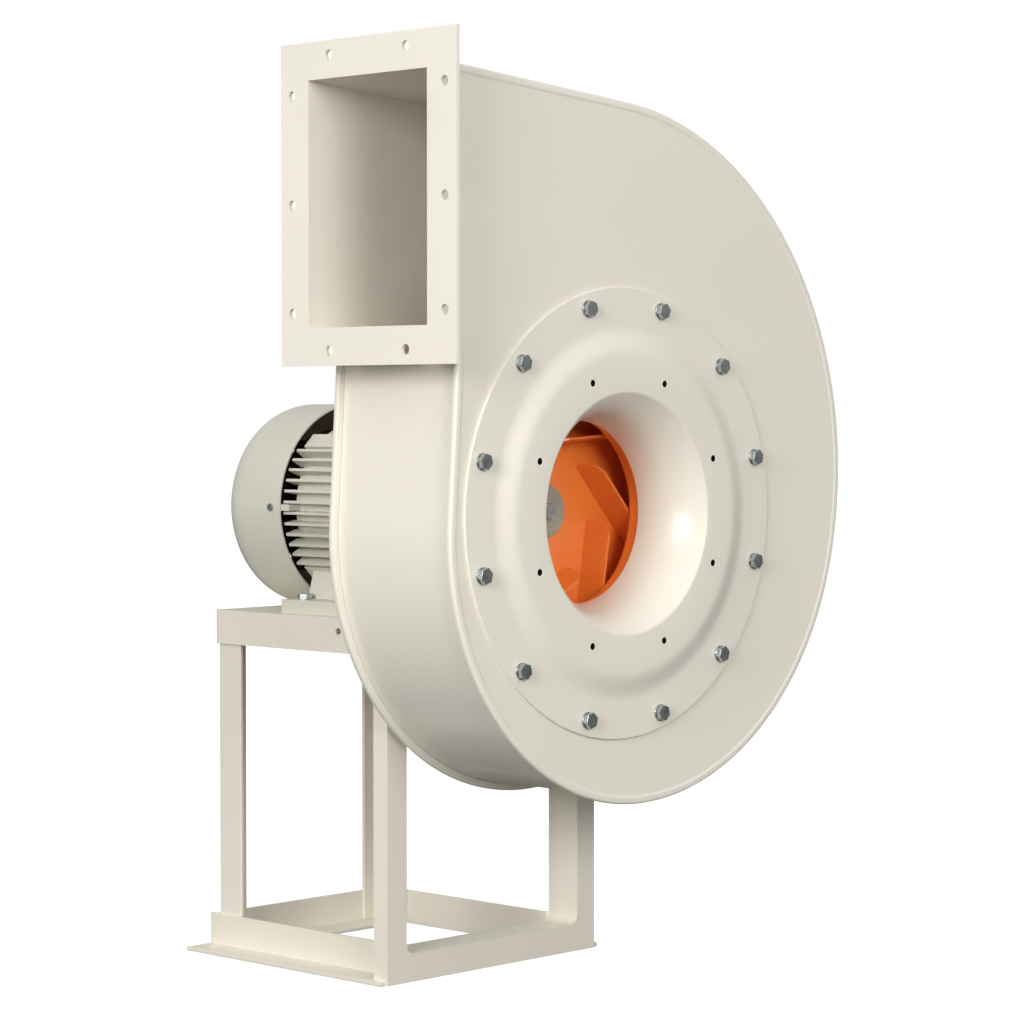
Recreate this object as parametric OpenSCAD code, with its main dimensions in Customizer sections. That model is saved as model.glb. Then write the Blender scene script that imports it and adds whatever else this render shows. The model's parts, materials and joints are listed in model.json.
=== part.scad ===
// Industrial centrifugal blower: welded sheet-steel scroll on a stand, driven directly by a foot-mounted motor.
// Millimetres. X runs to the right seen from the inlet, Y from the inlet to the motor, Z up.
// The origin is the centre of the four floor bolt holes, on the floor.

/* [Housing] */
// Height of the shaft above the floor
shaft_h = 565; // [520:1:640]
// Width of the housing over its two side plates
housing_w = 199; // [180:1:230]
// Thickness of the housing sheet
sheet_t = 2.5; // [2:0.25:3.5]
// Width of the folded rim, seen from the front
rim_w = 9; // [7:0.5:12]
// Depth of the folded rim along the shaft
rim_d = 8; // [6:0.5:12]
// How far the folded rim stands out from its side plate
rim_proud = 1; // [0.5:0.25:2]
// Radius of the lower left arc of the scroll
low_arc_r = 324; // [312:1:336]
// Radius of the lower right arc of the scroll
right_arc_r = 377; // [365:1:389]
// Radius of the upper right arc of the scroll
top_arc_r = 441; // [430:1:460]
// Lower arcs' centre to the right of the shaft
low_arc_x = 36; // [30:1:42]
// Lower left arc's centre below the shaft
low_arc_drop = 23; // [18:1:28]
// Direction in which the two right arcs meet
joint_angle = -14; // [-20:1:-8]
// Slope of the duct's top
top_slope = 4.6; // [3:0.2:6]
// Lean of the left wall
left_slope = 3.6; // [2:0.2:5]
// Radius of the front opening that lets the impeller out
front_hole_r = 232; // [229:1:236]
// Radius of the hole for the shaft in the rear plate
rear_hole_r = 55; // [50:1:60]

/* [Cut-off plate] */
// Gap between the impeller and the nose of the cut-off plate
tongue_gap = 38; // [34:1:46]
// Radius of the nose
nose_r = 12; // [9:1:15]
// Direction of the lower leg, from the nose to the wall
tongue_angle = 226; // [222:1:230]

/* [Outlet] */
// Outlet face to the left of the shaft
outlet_x = 321; // [310:1:345]
// Height of the outlet opening
opening_h = 283; // [260:1:290]
// Width of the frame round the opening, above and below
frame_h = 43.5; // [38:0.5:50]
// Width of the frame round the opening, at the sides
frame_w = 46; // [40:0.5:52]
// Thickness of the outlet flange
flange_t = 5; // [4:0.5:8]
// Diameter of the flange holes
flange_hole_d = 12; // [9:0.5:14]
// Distance between neighbouring flange holes
flange_pitch = 125; // [110:1:130]
// Distance between the upper and the lower row of holes
flange_rows = 336; // [328:1:342]
// Distance between the front and the rear column of holes
flange_cols = 249; // [243:1:256]

/* [Inlet cover] */
// Outer radius of the cover
cover_r = 267; // [262:1:275]
// Thickness of the cover
cover_t = 3; // [2.5:0.25:4]
// Outer radius of the pressed step
step_r = 222; // [215:1:226]
// Inner radius of the pressed step, where the raised ring starts
ring_r = 187; // [180:1:195]
// Height of the raised ring above the flat border
step_h = 8; // [5:0.5:11]
// Radius of the rounded lip
lip_r = 5; // [4.5:0.25:6]
// How far the cover's lip runs into the nozzle
lip_depth = 14; // [11:1:20]
// Pitch circle diameter of the cover bolts
cover_pcd = 497; // [488:1:506]
// Number of cover bolts
cover_bolts_n = 12; // [8:1:16]
// Pitch circle diameter of the threaded holes for the inlet duct
inlet_pcd = 332; // [322:1:345]
// Number of threaded holes for the inlet duct
inlet_n = 8; // [6:1:12]
// Thread diameter of the inlet duct's holes
inlet_thread_d = 8; // [6:1:10]
// Radius of the nozzle's throat
throat_r = 109.5; // [104:0.5:111]
// Radius of the curve along the nozzle
bell_r = 120; // [112:1:130]
// Thickness of the nozzle
nozzle_t = 2; // [1.5:0.25:2.5]
// How far the nozzle reaches into the impeller's eye
nozzle_lap = 4; // [2:0.5:8]

/* [Impeller] */
// Outer radius of the impeller
impeller_r = 225; // [215:1:227]
// Radius of the impeller's eye
eye_r = 114; // [113.5:0.5:118]
// Blade width at the eye
eye_w = 34; // [30:1:38]
// Blade width at the rim
rim_blade_w = 27; // [24:1:29]
// Length of the eye's neck
neck_l = 27; // [23:1:30]
// Radius of the bend between the neck and the shroud
shroud_bend_r = 8; // [6:0.5:10]
// Thickness of the shroud
shroud_t = 2.5; // [2:0.25:3]
// Thickness of the back plate
back_t = 4; // [3:0.5:6]
// Number of blades
blades_n = 7; // [6:1:12]
// Thickness of a blade
blade_t = 3; // [2:0.25:4]
// Distance of a blade's root line from the shaft
blade_foot_r = 80; // [72:1:84]
// Direction of the first blade's foot
blade_angle = 42; // [30:1:60]
// Lean of the blades out of the shaft's direction
blade_lean = 11; // [6:1:20]
// How far a blade's front edge sweeps along the blade
blade_sweep = 16; // [10:1:22]
// Radius of the hub
hub_r = 38; // [34:1:42]
// Length of the hub
hub_l = 63; // [56:1:66]
// Radius of the hub's flange
hub_flange_r = 58; // [52:1:62]
// Thickness of the hub's flange
hub_flange_t = 9; // [7:0.5:12]
// Radius of the washer that holds the hub
hub_washer_r = 32; // [28:1:34]
// Thickness of that washer
hub_washer_t = 5; // [4:0.5:6]

/* [Motor] */
// Diameter of the shaft end
shaft_d = 38; // [36:1:40]
// Length of the shaft end
shaft_l = 80; // [76:1:84]
// Shaft height of the motor above its feet
motor_h = 132; // [131:1:136]
// Distance between the left and right foot holes
foot_a = 216; // [210:1:222]
// Distance between the front and rear foot holes
foot_b = 140; // [132:1:146]
// Distance from the shaft's shoulder to the front foot holes
foot_c = 89; // [86:1:94]
// Thickness of the feet
foot_t = 17; // [14:1:20]
// Width of a foot
foot_w = 46; // [42:1:50]
// Outer radius of the motor's tube
tube_r = 108; // [104:1:110]
// Wall of the motor's tube
tube_t = 4.5; // [3.5:0.5:5]
// Length of the motor's tube
tube_l = 209; // [206:1:214]
// Radius over the cooling fins
fin_r = 123; // [119:1:125]
// Thickness of a cooling fin
fin_t = 3.5; // [3:0.5:4.5]
// Angle between neighbouring cooling fins
fin_pitch = 6.5; // [6:0.25:7]
// Radius of the end shields
shield_r = 118; // [114:1:120]
// Radius of the fan cowl
cowl_r = 130; // [127:1:131]
// Length of the fan cowl
cowl_l = 123; // [116:1:134]
// Radius of the cowl's rounded end
cowl_bend_r = 48; // [40:1:54]
// Thickness of the cowl's sheet
cowl_t = 2; // [1.5:0.25:2.5]

/* [Terminal box] */
// Width of the terminal box
box_w = 108; // [100:1:114]
// Length of the terminal box
box_l = 100; // [92:1:106]
// Height of the terminal box without its lid
box_h = 46; // [40:1:52]
// Height of the lid
box_lid_h = 18; // [14:1:22]
// Wall of the box
box_t = 4; // [3:0.5:5]

/* [Stand] */
// Length of the side beams
beam_l = 360; // [352:1:380]
// Distance between the outer faces of the side beams' upright leaves
stand_w = 304; // [298:2:310]
// Leg of the angle sections
angle_w = 45; // [40:1:48]
// Height of the side beams
beam_h = 44; // [40:1:48]
// Thickness of the angle sections
angle_t = 5; // [4:0.5:6]
// Distance of the floor holes from the ends of the side beams
floor_inset = 27; // [24:1:32]
// Diameter of the floor holes
floor_hole_d = 12; // [10:1:14]
// Thickness of the disc that carries the housing
disc_t = 12; // [8:1:14]
// Width of that disc outside the circle of bolts that hold the housing
disc_edge = 17; // [14:1:22]
// Distance from those bolts to the front legs
disc_leg_gap = 9.6; // [9:0.2:14]
// Thickness of the pressed front frame
frame_t = 3; // [2.5:0.5:4]
// Face width of the front frame's legs
leg_w = 32; // [28:1:36]
// Depth of the front frame's outer lip
lip_w = 24; // [20:1:28]
// Depth of the front frame's inner flange
inner_w = 50; // [44:1:56]
// Face height of the front frame's beams
portal_h = 34; // [30:1:38]
// Height of the front frame above the shaft
portal_rise = 190; // [184:1:200]
// Thickness of the motor bed
bed_t = 4; // [3:0.5:5]
// Depth of the motor bed's edges
bed_h = 43; // [38:1:48]

/* [Hidden] */
$fn = 96;

// Overrun of every cut past the face it opens
cut = 1;
// Gap between parts that are fitted by hand
fit = 0.3;
// Radial clearance of a shaft in a bore
run_fit = 0.05;
// Round parts that are seen as large circles
fine = 180;

// Stations along the shaft, from the inlet to the motor
stand_front = -beam_l / 2;
back_y = stand_front - disc_t;
front_y = back_y - housing_w;
cover_y = front_y - cover_t;
ring_y = cover_y - step_h;
mid_y = (front_y + back_y) / 2;
shoulder_lead = 2;
shoulder_y = stand_front - shoulder_lead;
shaft_end = shoulder_y - shaft_l;
hub_lead = 1;
hub_y = shaft_end - hub_lead;
plate_y = hub_y + hub_lead;
eye_y = plate_y - eye_w;
neck_y = eye_y - neck_l;
nozzle_end = neck_y + nozzle_lap;

// Scroll outline, seen from the inlet with the shaft at zero
low_c = [low_arc_x, -low_arc_drop];
right_c = [low_arc_x, right_arc_r - low_arc_r - low_arc_drop];
top_c = right_c - (top_arc_r - right_arc_r) * [cos(joint_angle), sin(joint_angle)];
reach = 2 * top_arc_r;
core_share = 0.4;
// Each arc stands this far out of its neighbour and runs on inside it, so that the two cross instead of touching
arc_step = 0.1;
arc_over = 6;
duct_x = -(outlet_x - flange_t);
band_out = rim_w + fit;
band_in = band_out + sheet_t;
outlet_top = top_at(band_in, duct_x)[1];
outlet_low = outlet_top - opening_h;
floor_z = outlet_low - band_in;
outlet_z = outlet_top - opening_h / 2;
opening_w = housing_w - 2 * sheet_t;

function dir(a) = [cos(a), sin(a)];
function top_start(d) = top_c + (top_arc_r - arc_step - d) * dir(90 - top_slope);
function left_start(d) = low_c + (low_arc_r + arc_step - d) * dir(180 - left_slope);
function top_at(d, x) = [x, top_start(d)[1] + (top_start(d)[0] - x) * tan(top_slope)];
function left_at(d, z) = [left_start(d)[0] + (z - left_start(d)[1]) * tan(left_slope), z];

// Places a shape on the shaft with its own Z towards the inlet
module at(y) {
    translate([0, y, shaft_h]) rotate([90, 0, 0]) children();
}

// Flat ring on the shaft, from its rear face towards the inlet
module ring(rear, thick, outer, inner) {
    at(rear) linear_extrude(thick) difference() {
        circle(outer, $fn = fine);
        circle(inner, $fn = fine);
    }
}

// Repeats a shape round the shaft
module around(count, first) {
    for (i = [0 : count - 1]) rotate([0, 0, first + i * 360 / count]) children();
}

// Hexagon bolt along Z: the head stands on zero and the shank hangs below it
module hex_bolt(d, flats, head_h, shank) {
    cylinder(h = head_h, d = flats / cos(30), $fn = 6);
    translate([0, 0, -shank]) cylinder(h = shank + head_h / 2, d = d, $fn = 32);
}

// Hexagon nut along Z, standing on zero
module hex_nut(d, flats, high) {
    difference() {
        cylinder(h = high, d = flats / cos(30), $fn = 6);
        translate([0, 0, -cut]) cylinder(h = high + 2 * cut, d = d, $fn = 32);
    }
}

// Region inside the scroll, drawn in by d, with the duct cut off at end_x
module scroll_shape(d, end_x) {
    intersection() {
        translate(low_c) circle(low_arc_r + 2 * arc_step - d, $fn = fine);
        polygon([
            low_c, low_c + reach * dir(180 - left_slope - arc_over), low_c + reach * dir(225),
            low_c + reach * dir(270 + arc_over)
        ]);
    }
    intersection() {
        translate(right_c) circle(right_arc_r + arc_step - d, $fn = fine);
        polygon([
            right_c, right_c + reach * dir(270), right_c + reach * dir(315), right_c + reach * dir(joint_angle + arc_over)
        ]);
    }
    intersection() {
        translate(top_c) circle(top_arc_r - d, $fn = fine);
        polygon([
            top_c, top_c + reach * dir(joint_angle), top_c + reach * dir(45),
            top_c + reach * dir(90 - top_slope + arc_over)
        ]);
    }
    polygon([
        top_start(d), top_at(d, end_x), [end_x, floor_z + d], left_at(d, floor_z + d), left_start(d),
        low_c + core_share * low_arc_r * dir(225), low_c + core_share * low_arc_r * dir(300),
        right_c + core_share * right_arc_r * dir(joint_angle), top_c + core_share * top_arc_r * dir(45)
    ]);
}

// Side plate with its folded rim; the plate's outer face lies on zero and the housing below it
module side_plate() {
    difference() {
        union() {
            translate([0, 0, -sheet_t]) linear_extrude(sheet_t) scroll_shape(rim_w / 2, duct_x);
            translate([0, 0, rim_proud - rim_d]) linear_extrude(rim_d) difference() {
                scroll_shape(0, duct_x);
                scroll_shape(rim_w, duct_x - cut);
            }
        }
        translate([0, 0, -rim_d]) linear_extrude(2 * rim_d) children();
    }
}

cover_bolt_d = 10;
cover_bolt_flats = 17;
cover_bolt_head = 6.5;
cover_bolt_hole_d = cover_bolt_d + 2 * fit;
cover_washer_r = 10;
cover_washer_t = 2;
cover_nut_h = 8;

module cover_holes(d) {
    around(cover_bolts_n, 180 / cover_bolts_n) translate([cover_pcd / 2, 0]) circle(d = d, $fn = 32);
}

module front_side_plate() {
    color("#E4DFD2") at(front_y) side_plate() {
        circle(front_hole_r, $fn = fine);
        cover_holes(cover_bolt_hole_d);
    }
}

disc_bolts_n = 8;
disc_bolt_d = 8;
disc_bolt_flats = 13;
disc_bolt_head = 5.5;
disc_bolt_hole_d = disc_bolt_d + 2 * fit;
seal_r = 75;
seal_t = 3;
seal_bolts_n = 4;
seal_pcd = 130;
seal_screw_d = 6;
seal_screw_head_d = 10;
seal_screw_head = 4;

module disc_holes(d) {
    around(disc_bolts_n, 180 / disc_bolts_n) translate([disc_bolt_r, 0]) circle(d = d, $fn = 32);
}

module seal_holes(d) {
    around(seal_bolts_n, 180 / seal_bolts_n) translate([seal_pcd / 2, 0]) circle(d = d, $fn = 32);
}

module rear_side_plate() {
    color("#DAD5C7") at(back_y) mirror([0, 0, 1]) side_plate() {
        circle(rear_hole_r, $fn = fine);
        disc_holes(disc_bolt_hole_d);
        seal_holes(seal_screw_d);
    }
}

module scroll_band() {
    color("#EFEBE0") at(back_y - sheet_t) linear_extrude(opening_w) difference() {
        scroll_shape(band_out, duct_x);
        scroll_shape(band_in, duct_x - cut);
    }
}

// The nose keeps its gap from the impeller and its top lies level with the duct's floor
nose_z = outlet_low - nose_r;
nose_x = -sqrt(pow(impeller_r + tongue_gap + nose_r, 2) - pow(nose_z, 2));

module cutoff_plate() {
    color("#DED9CC") at(back_y - sheet_t) linear_extrude(opening_w) intersection() {
        scroll_shape(band_in, duct_x);
        union() {
            translate([nose_x, nose_z]) difference() {
                circle(nose_r);
                circle(nose_r - sheet_t);
            }
            translate([nose_x - outlet_x, outlet_low - sheet_t]) square([outlet_x, sheet_t]);
            translate([nose_x, nose_z]) rotate(tongue_angle) translate([0, nose_r - sheet_t])
                square([outlet_x, sheet_t]);
        }
    }
}

module flange_hole(y, z) {
    translate([y, z]) circle(d = flange_hole_d, $fn = 32);
}

// Ten holes: two in the middle of each short side, three down each long side
module outlet_flange() {
    color("#F1EDE2") translate([duct_x, mid_y, shaft_h + outlet_z]) rotate([90, 0, -90])
        linear_extrude(flange_t) difference() {
            square([opening_w + 2 * frame_w, opening_h + 2 * frame_h], center = true);
            square([opening_w, opening_h], center = true);
            for (y = [-1, 1], z = [-1, 1]) flange_hole(y * flange_pitch / 2, z * flange_rows / 2);
            for (y = [-1, 1], z = [-1, 0, 1]) flange_hole(y * flange_cols / 2, z * flange_pitch);
        }
}

// The nozzle's curve and the cover's lip are arcs that meet smoothly
bell_c = [throat_r + bell_r, -nozzle_end];
lip_y = -(ring_y + lip_r);
lip_c = [bell_c[0] - sqrt(pow(bell_r - lip_r, 2) - pow(lip_y - bell_c[1], 2)), lip_y];
meet = bell_c + bell_r * (lip_c - bell_c) / (bell_r - lip_r);
split_z = -(ring_y + lip_depth);

// Wall along the nozzle's curve, as thick as thick, between two stations
module bell_wall(thick, low, high) {
    intersection() {
        translate(bell_c) difference() {
            circle(bell_r, $fn = fine);
            circle(bell_r - thick, $fn = fine);
        }
        translate([0, low]) square([bell_c[0] - bell_r / 2, high - low]);
    }
}

rivet_r = 5.5;
rivet_flange_r = 7.5;
rivet_flange_t = 1;
rivet_l = 14;

module inlet_cover() {
    color("#E6E1D4") difference() {
        at(0) rotate_extrude($fn = fine) {
            polygon([
                [lip_c[0], -ring_y], [ring_r, -ring_y], [step_r, -cover_y], [cover_r, -cover_y],
                [cover_r, -front_y], [step_r - cover_t / 2, -front_y], [ring_r - cover_t / 2, -ring_y - cover_t],
                [lip_c[0], -ring_y - cover_t]
            ]);
            intersection() {
                translate(lip_c) difference() {
                    circle(lip_r);
                    circle(lip_r - cover_t);
                }
                polygon([lip_c, lip_c + 2 * [0, lip_r], lip_c + 2 * [-lip_r, lip_r], lip_c + 2 * (meet - lip_c)]);
            }
            intersection() {
                bell_wall(cover_t, split_z, lip_y + lip_r);
                polygon([
                    bell_c, bell_c + 2 * (meet - bell_c), [0, meet[1]], [0, split_z - lip_r], [bell_c[0], split_z - lip_r]
                ]);
            }
        }
        at(front_y + cut) linear_extrude(cover_t + 2 * cut) cover_holes(cover_bolt_hole_d);
        at(ring_y) around(inlet_n, 180 / inlet_n) translate([inlet_pcd / 2, 0]) {
            translate([0, 0, -cover_t - cut]) cylinder(h = cover_t + 2 * cut, r = rivet_r, $fn = 48);
            translate([0, 0, -rivet_flange_t]) cylinder(h = rivet_flange_t + cut, r = rivet_flange_r, $fn = 48);
        }
    }
}

module inlet_nozzle() {
    color("#EAE5D8") at(0) rotate_extrude($fn = fine) bell_wall(nozzle_t, -nozzle_end, split_z);
}

module on_cover() {
    at(cover_y) around(cover_bolts_n, 180 / cover_bolts_n) translate([cover_pcd / 2, 0]) children();
}

module cover_bolts() {
    color("#B9C2C6") on_cover() translate([0, 0, cover_washer_t])
        hex_bolt(cover_bolt_d, cover_bolt_flats, cover_bolt_head,
            cover_washer_t + cover_t + sheet_t + cover_nut_h);
}

module cover_washers() {
    color("#A9B2B6") on_cover() linear_extrude(cover_washer_t) difference() {
        circle(cover_washer_r, $fn = 48);
        circle(d = cover_bolt_hole_d, $fn = 32);
    }
}

module cover_nuts() {
    color("#9FA6A8") on_cover() translate([0, 0, -cover_t - sheet_t - cover_nut_h])
        hex_nut(cover_bolt_hole_d, cover_bolt_flats, cover_nut_h);
}

module inlet_rivet_nuts() {
    color("#8F9496") at(ring_y) around(inlet_n, 180 / inlet_n) translate([inlet_pcd / 2, 0]) difference() {
        union() {
            translate([0, 0, -rivet_flange_t]) cylinder(h = rivet_flange_t, r = rivet_flange_r, $fn = 48);
            translate([0, 0, -rivet_l]) cylinder(h = rivet_l, r = rivet_r, $fn = 48);
        }
        translate([0, 0, -rivet_l - cut]) cylinder(h = rivet_l + 2 * cut, d = inlet_thread_d, $fn = 48);
    }
}

felt_t = 6;
felt_r = rear_hole_r - 2;

module shaft_seal_plate() {
    color("#C9C4B6") at(back_y + seal_t) linear_extrude(seal_t) difference() {
        circle(seal_r, $fn = fine);
        circle(shaft_d / 2 + 2, $fn = fine);
        seal_holes(seal_screw_d + 2 * fit);
    }
}

module shaft_felt() {
    color("#8C857A") ring(back_y, felt_t, felt_r, shaft_d / 2 + fit);
}

module seal_screws() {
    color("#9FA6A8") at(back_y + seal_t) mirror([0, 0, 1]) around(seal_bolts_n, 180 / seal_bolts_n)
        translate([seal_pcd / 2, 0]) {
            cylinder(h = seal_screw_head, d = seal_screw_head_d, $fn = 6);
            translate([0, 0, -seal_t - 2 * sheet_t]) cylinder(h = seal_t + 3 * sheet_t, d = seal_screw_d, $fn = 32);
        }
}

disc_hole_r = seal_r + 12;
disc_nut_h = 6.5;

module housing_disc() {
    color("#CFC9BA") at(stand_front) linear_extrude(disc_t) difference() {
        circle(disc_r, $fn = fine);
        circle(disc_hole_r, $fn = fine);
        disc_holes(disc_bolt_hole_d);
    }
}

module on_disc() {
    at(stand_front) mirror([0, 0, 1]) around(disc_bolts_n, 180 / disc_bolts_n)
        translate([disc_bolt_r, 0]) children();
}

module housing_bolts() {
    color("#AEB6B9") on_disc()
        hex_bolt(disc_bolt_d, disc_bolt_flats, disc_bolt_head, disc_t + sheet_t + disc_nut_h);
}

module housing_nuts() {
    color("#9FA6A8") on_disc() translate([0, 0, -disc_t - sheet_t - disc_nut_h])
        hex_nut(disc_bolt_hole_d, disc_bolt_flats, disc_nut_h);
}

// Stand: the pressed front frame, two side beams, a rear beam, two rear legs and the motor bed
beam_over = 7;
bed_top = shaft_h - motor_h;
beam_x = stand_w / 2 - angle_t;
bed_x = beam_x + bed_t;
leg_x = bed_x;
disc_bolt_r = (leg_x - disc_leg_gap) / cos(180 / disc_bolts_n);
disc_r = disc_bolt_r + disc_edge;
rear_y = beam_l / 2 - beam_over;
leg_rear = rear_y - bed_t;
portal_top = shaft_h + portal_rise;
corner_r = 12;
bed_lead = 10;
bed_front = stand_front + bed_lead;
rear_leg_w = 43;

// Extrudes a front-view shape from its rear face towards the inlet
module upright(rear, thick) {
    translate([0, rear, 0]) rotate([90, 0, 0]) linear_extrude(thick) children();
}

// Opening of the front frame, grown by d, with rounded corners
module portal_opening(d) {
    wide = leg_x + d;
    low = portal_h - d;
    high = portal_top - portal_h + d;
    round_r = corner_r + d;
    translate([-wide, low + round_r]) square([2 * wide, high - low - 2 * round_r]);
    translate([round_r - wide, low]) square([2 * (wide - round_r), high - low]);
    for (x = [-1, 1], z = [low + round_r, high - round_r])
        translate([x * (wide - round_r), z]) circle(round_r);
}

module front_leg() {
    straight = portal_top - 2 * portal_h - 2 * corner_r;
    difference() {
        union() {
            upright(stand_front + frame_t, frame_t) translate([leg_x, 0]) square([leg_w, portal_top]);
            upright(stand_front + lip_w, lip_w) translate([leg_x + leg_w - frame_t, angle_t])
                square([frame_t, portal_top - angle_t]);
            upright(stand_front + inner_w, inner_w) translate([leg_x, portal_h + corner_r])
                square([frame_t, straight]);
        }
        on_bed_sides(leg_x - cut) cylinder(h = frame_t + 2 * cut, d = bed_bolt_hole_d, $fn = 32);
    }
}

module front_leg_left() {
    color("#D9D3C5") mirror([1, 0, 0]) front_leg();
}

module front_leg_right() {
    color("#D9D3C5") front_leg();
}

// Beam of the front frame: a face and a flange that turns up into the legs
module portal_beam(low, high) {
    upright(stand_front + frame_t, frame_t) difference() {
        translate([-leg_x, low]) square([2 * leg_x, high - low]);
        portal_opening(0);
    }
    upright(stand_front + inner_w, inner_w - frame_t) intersection() {
        difference() {
            portal_opening(frame_t);
            portal_opening(0);
        }
        translate([-leg_x - leg_w, low]) square([2 * (leg_x + leg_w), high - low]);
    }
}

module front_beam_lower() {
    color("#D5CFC0") portal_beam(0, portal_h + corner_r);
}

module front_beam_upper() {
    color("#D5CFC0") portal_beam(portal_top - portal_h - corner_r, portal_top);
}

bed_bolt_d = 10;
bed_bolt_flats = 17;
bed_bolt_head = 6.5;
bed_bolt_hole_d = bed_bolt_d + 2 * fit;
bed_nut_h = 8;
bed_bolt_drop = 26;
bed_bolt_share = 0.5;
bed_hole_d = 9;
bed_hole_y = -60;
bed_hole_drop = 17;

// Places a shape on the bed's right-hand bolt, along X from x outwards
module on_bed_sides(x) {
    translate([x, stand_front + bed_lead + bed_bolt_share * (inner_w - bed_lead), bed_top - bed_bolt_drop])
        rotate([0, 90, 0]) children();
}

foot_front_y = shoulder_y + foot_c;
foot_hole_d = 12;
foot_bolt_d = 10;
foot_bolt_flats = 17;
foot_bolt_head = 6.5;
foot_nut_h = 8;

module foot_spots() {
    for (x = [-1, 1], y = [0, 1]) translate([x * foot_a / 2, foot_front_y + y * foot_b]) children();
}

// Plan of the motor bed, drawn in by d, with its rear corners rounded
module bed_plan(d) {
    wide = bed_x - d;
    round_r = bed_bend_r - d;
    translate([-wide, bed_front]) square([2 * wide, rear_y - d - round_r - bed_front]);
    translate([round_r - wide, bed_front]) square([2 * (wide - round_r), rear_y - d - bed_front]);
    for (x = [-1, 1]) translate([x * (wide - round_r), rear_y - d - round_r]) circle(round_r);
}

bed_bend_r = 9;

module motor_bed() {
    color("#DDD7CA") difference() {
        translate([0, 0, bed_top - bed_h]) linear_extrude(bed_h) bed_plan(0);
        translate([0, 0, bed_top - bed_h - cut]) linear_extrude(bed_h + cut - bed_t) union() {
            bed_plan(bed_t);
            translate([-bed_x + bed_t, bed_front - cut]) square([2 * (bed_x - bed_t), 2 * cut]);
        }
        translate([0, 0, bed_top - bed_t - cut]) linear_extrude(bed_t + 2 * cut) foot_spots()
            circle(d = foot_hole_d, $fn = 32);
        for (s = [0, 1]) mirror([s, 0, 0]) {
            on_bed_sides(bed_x - bed_t - cut) cylinder(h = bed_t + 2 * cut, d = bed_bolt_hole_d, $fn = 32);
            translate([bed_x - bed_t - cut, bed_hole_y, bed_top - bed_hole_drop]) rotate([0, 90, 0])
                cylinder(h = bed_t + 2 * cut, d = bed_hole_d, $fn = 32);
        }
    }
}

module bed_bolts() {
    color("#AEB6B9") for (s = [0, 1]) mirror([s, 0, 0]) on_bed_sides(bed_x + frame_t)
        hex_bolt(bed_bolt_d, bed_bolt_flats, bed_bolt_head, frame_t + bed_t + bed_nut_h);
}

module bed_nuts() {
    color("#9FA6A8") for (s = [0, 1]) mirror([s, 0, 0]) on_bed_sides(bed_x - bed_t - bed_nut_h)
        hex_nut(bed_bolt_hole_d, bed_bolt_flats, bed_nut_h);
}

// Rear leg: an angle that stands on the rear beam and carries the bed
module rear_leg() {
    translate([0, 0, angle_t]) linear_extrude(bed_top - bed_t - angle_t) intersection() {
        bed_plan(bed_t);
        union() {
            translate([beam_x - angle_t, leg_rear - rear_leg_w]) square([angle_t, rear_leg_w]);
            translate([beam_x - rear_leg_w, leg_rear - angle_t]) square([rear_leg_w, angle_t]);
        }
    }
}

module rear_leg_left() {
    color("#DBD5C7") mirror([1, 0, 0]) rear_leg();
}

module rear_leg_right() {
    color("#DBD5C7") rear_leg();
}

floor_share = 0.56;
floor_x = beam_x + floor_share * angle_w;
floor_pitch = beam_l - 2 * floor_inset;

// Side beam: an upright leaf and a leaf on the floor that turns outwards
module side_beam() {
    leaf_front = stand_front + inner_w;
    difference() {
        union() {
            translate([beam_x, leaf_front, 0]) cube([angle_t, beam_l / 2 - leaf_front, beam_h]);
            translate([beam_x, stand_front + frame_t, 0]) cube([angle_w, beam_l - frame_t, angle_t]);
        }
        for (y = [-1, 1]) translate([floor_x, y * floor_pitch / 2, -cut])
            cylinder(h = angle_t + 2 * cut, d = floor_hole_d, $fn = 48);
    }
}

module side_beam_left() {
    color("#D7D1C3") mirror([1, 0, 0]) side_beam();
}

module side_beam_right() {
    color("#D7D1C3") side_beam();
}

module rear_beam() {
    color("#CFC9BA") {
        translate([-beam_x, leg_rear, 0]) cube([2 * beam_x, angle_t, beam_h]);
        translate([-beam_x, leg_rear - angle_w + angle_t, 0]) cube([2 * beam_x, angle_w, angle_t]);
    }
}

// Motor. The tube runs from the front shield to the rear shield
shield_lead = 28;
tube_front = shoulder_y + shield_lead;
tube_rear = tube_front + tube_l;
spigot_l = 5;
spigot_t = 5;
bore_r = tube_r - tube_t;
bearing_r = 40;
bearing_w = 18;
bearing_seat_r = 20;
bearing_race = 4;
bearing_balls_n = 8;
boss_r = 52;
boss_wall = 6;
rear_boss_l = 20;
shaft_hole_r = bearing_seat_r + 1;
shield_t = 11;
shield_cone = 8;
shield_flat_r = 105;
front_bearing_y = shoulder_y + boss_wall + bearing_w;
rear_shield_r = tube_r - tube_t / 2 - fit;
rear_bearing_y = tube_rear + bearing_w - spigot_l;
lug_w = 8;
lug_in = 102;
lug_l = 40;
cowl_lead = 15;
cowl_front = tube_rear + cowl_lead;
cowl_screw_back = 17;
cowl_screw_d = 5;
cowl_screw_head_r = 5;
cowl_screw_head = 2;
cowl_screw_l = 14;
lugs_n = 4;

pad_r = 119;
pad_w = 22;
side_fins_n = 12;
end_fins_n = 8;
fin_over = 16;

module fins(middle, count) {
    for (i = [0 : count - 1]) rotate(middle + (i - (count - 1) / 2) * fin_pitch)
        translate([tube_r - tube_t / 2, -fin_t / 2]) square([fin_r - tube_r + tube_t / 2, fin_t]);
}

foot_front_over = 24;
foot_rear_over = 19;
foot_l = foot_front_over + foot_b + foot_rear_over;
web_t = 14;
web_in = 22;
neck_w = 84;
neck_over = 8;
box_z = fin_r + 2;
box_lead = 22;
box_y = foot_front_y + box_lead;

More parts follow.
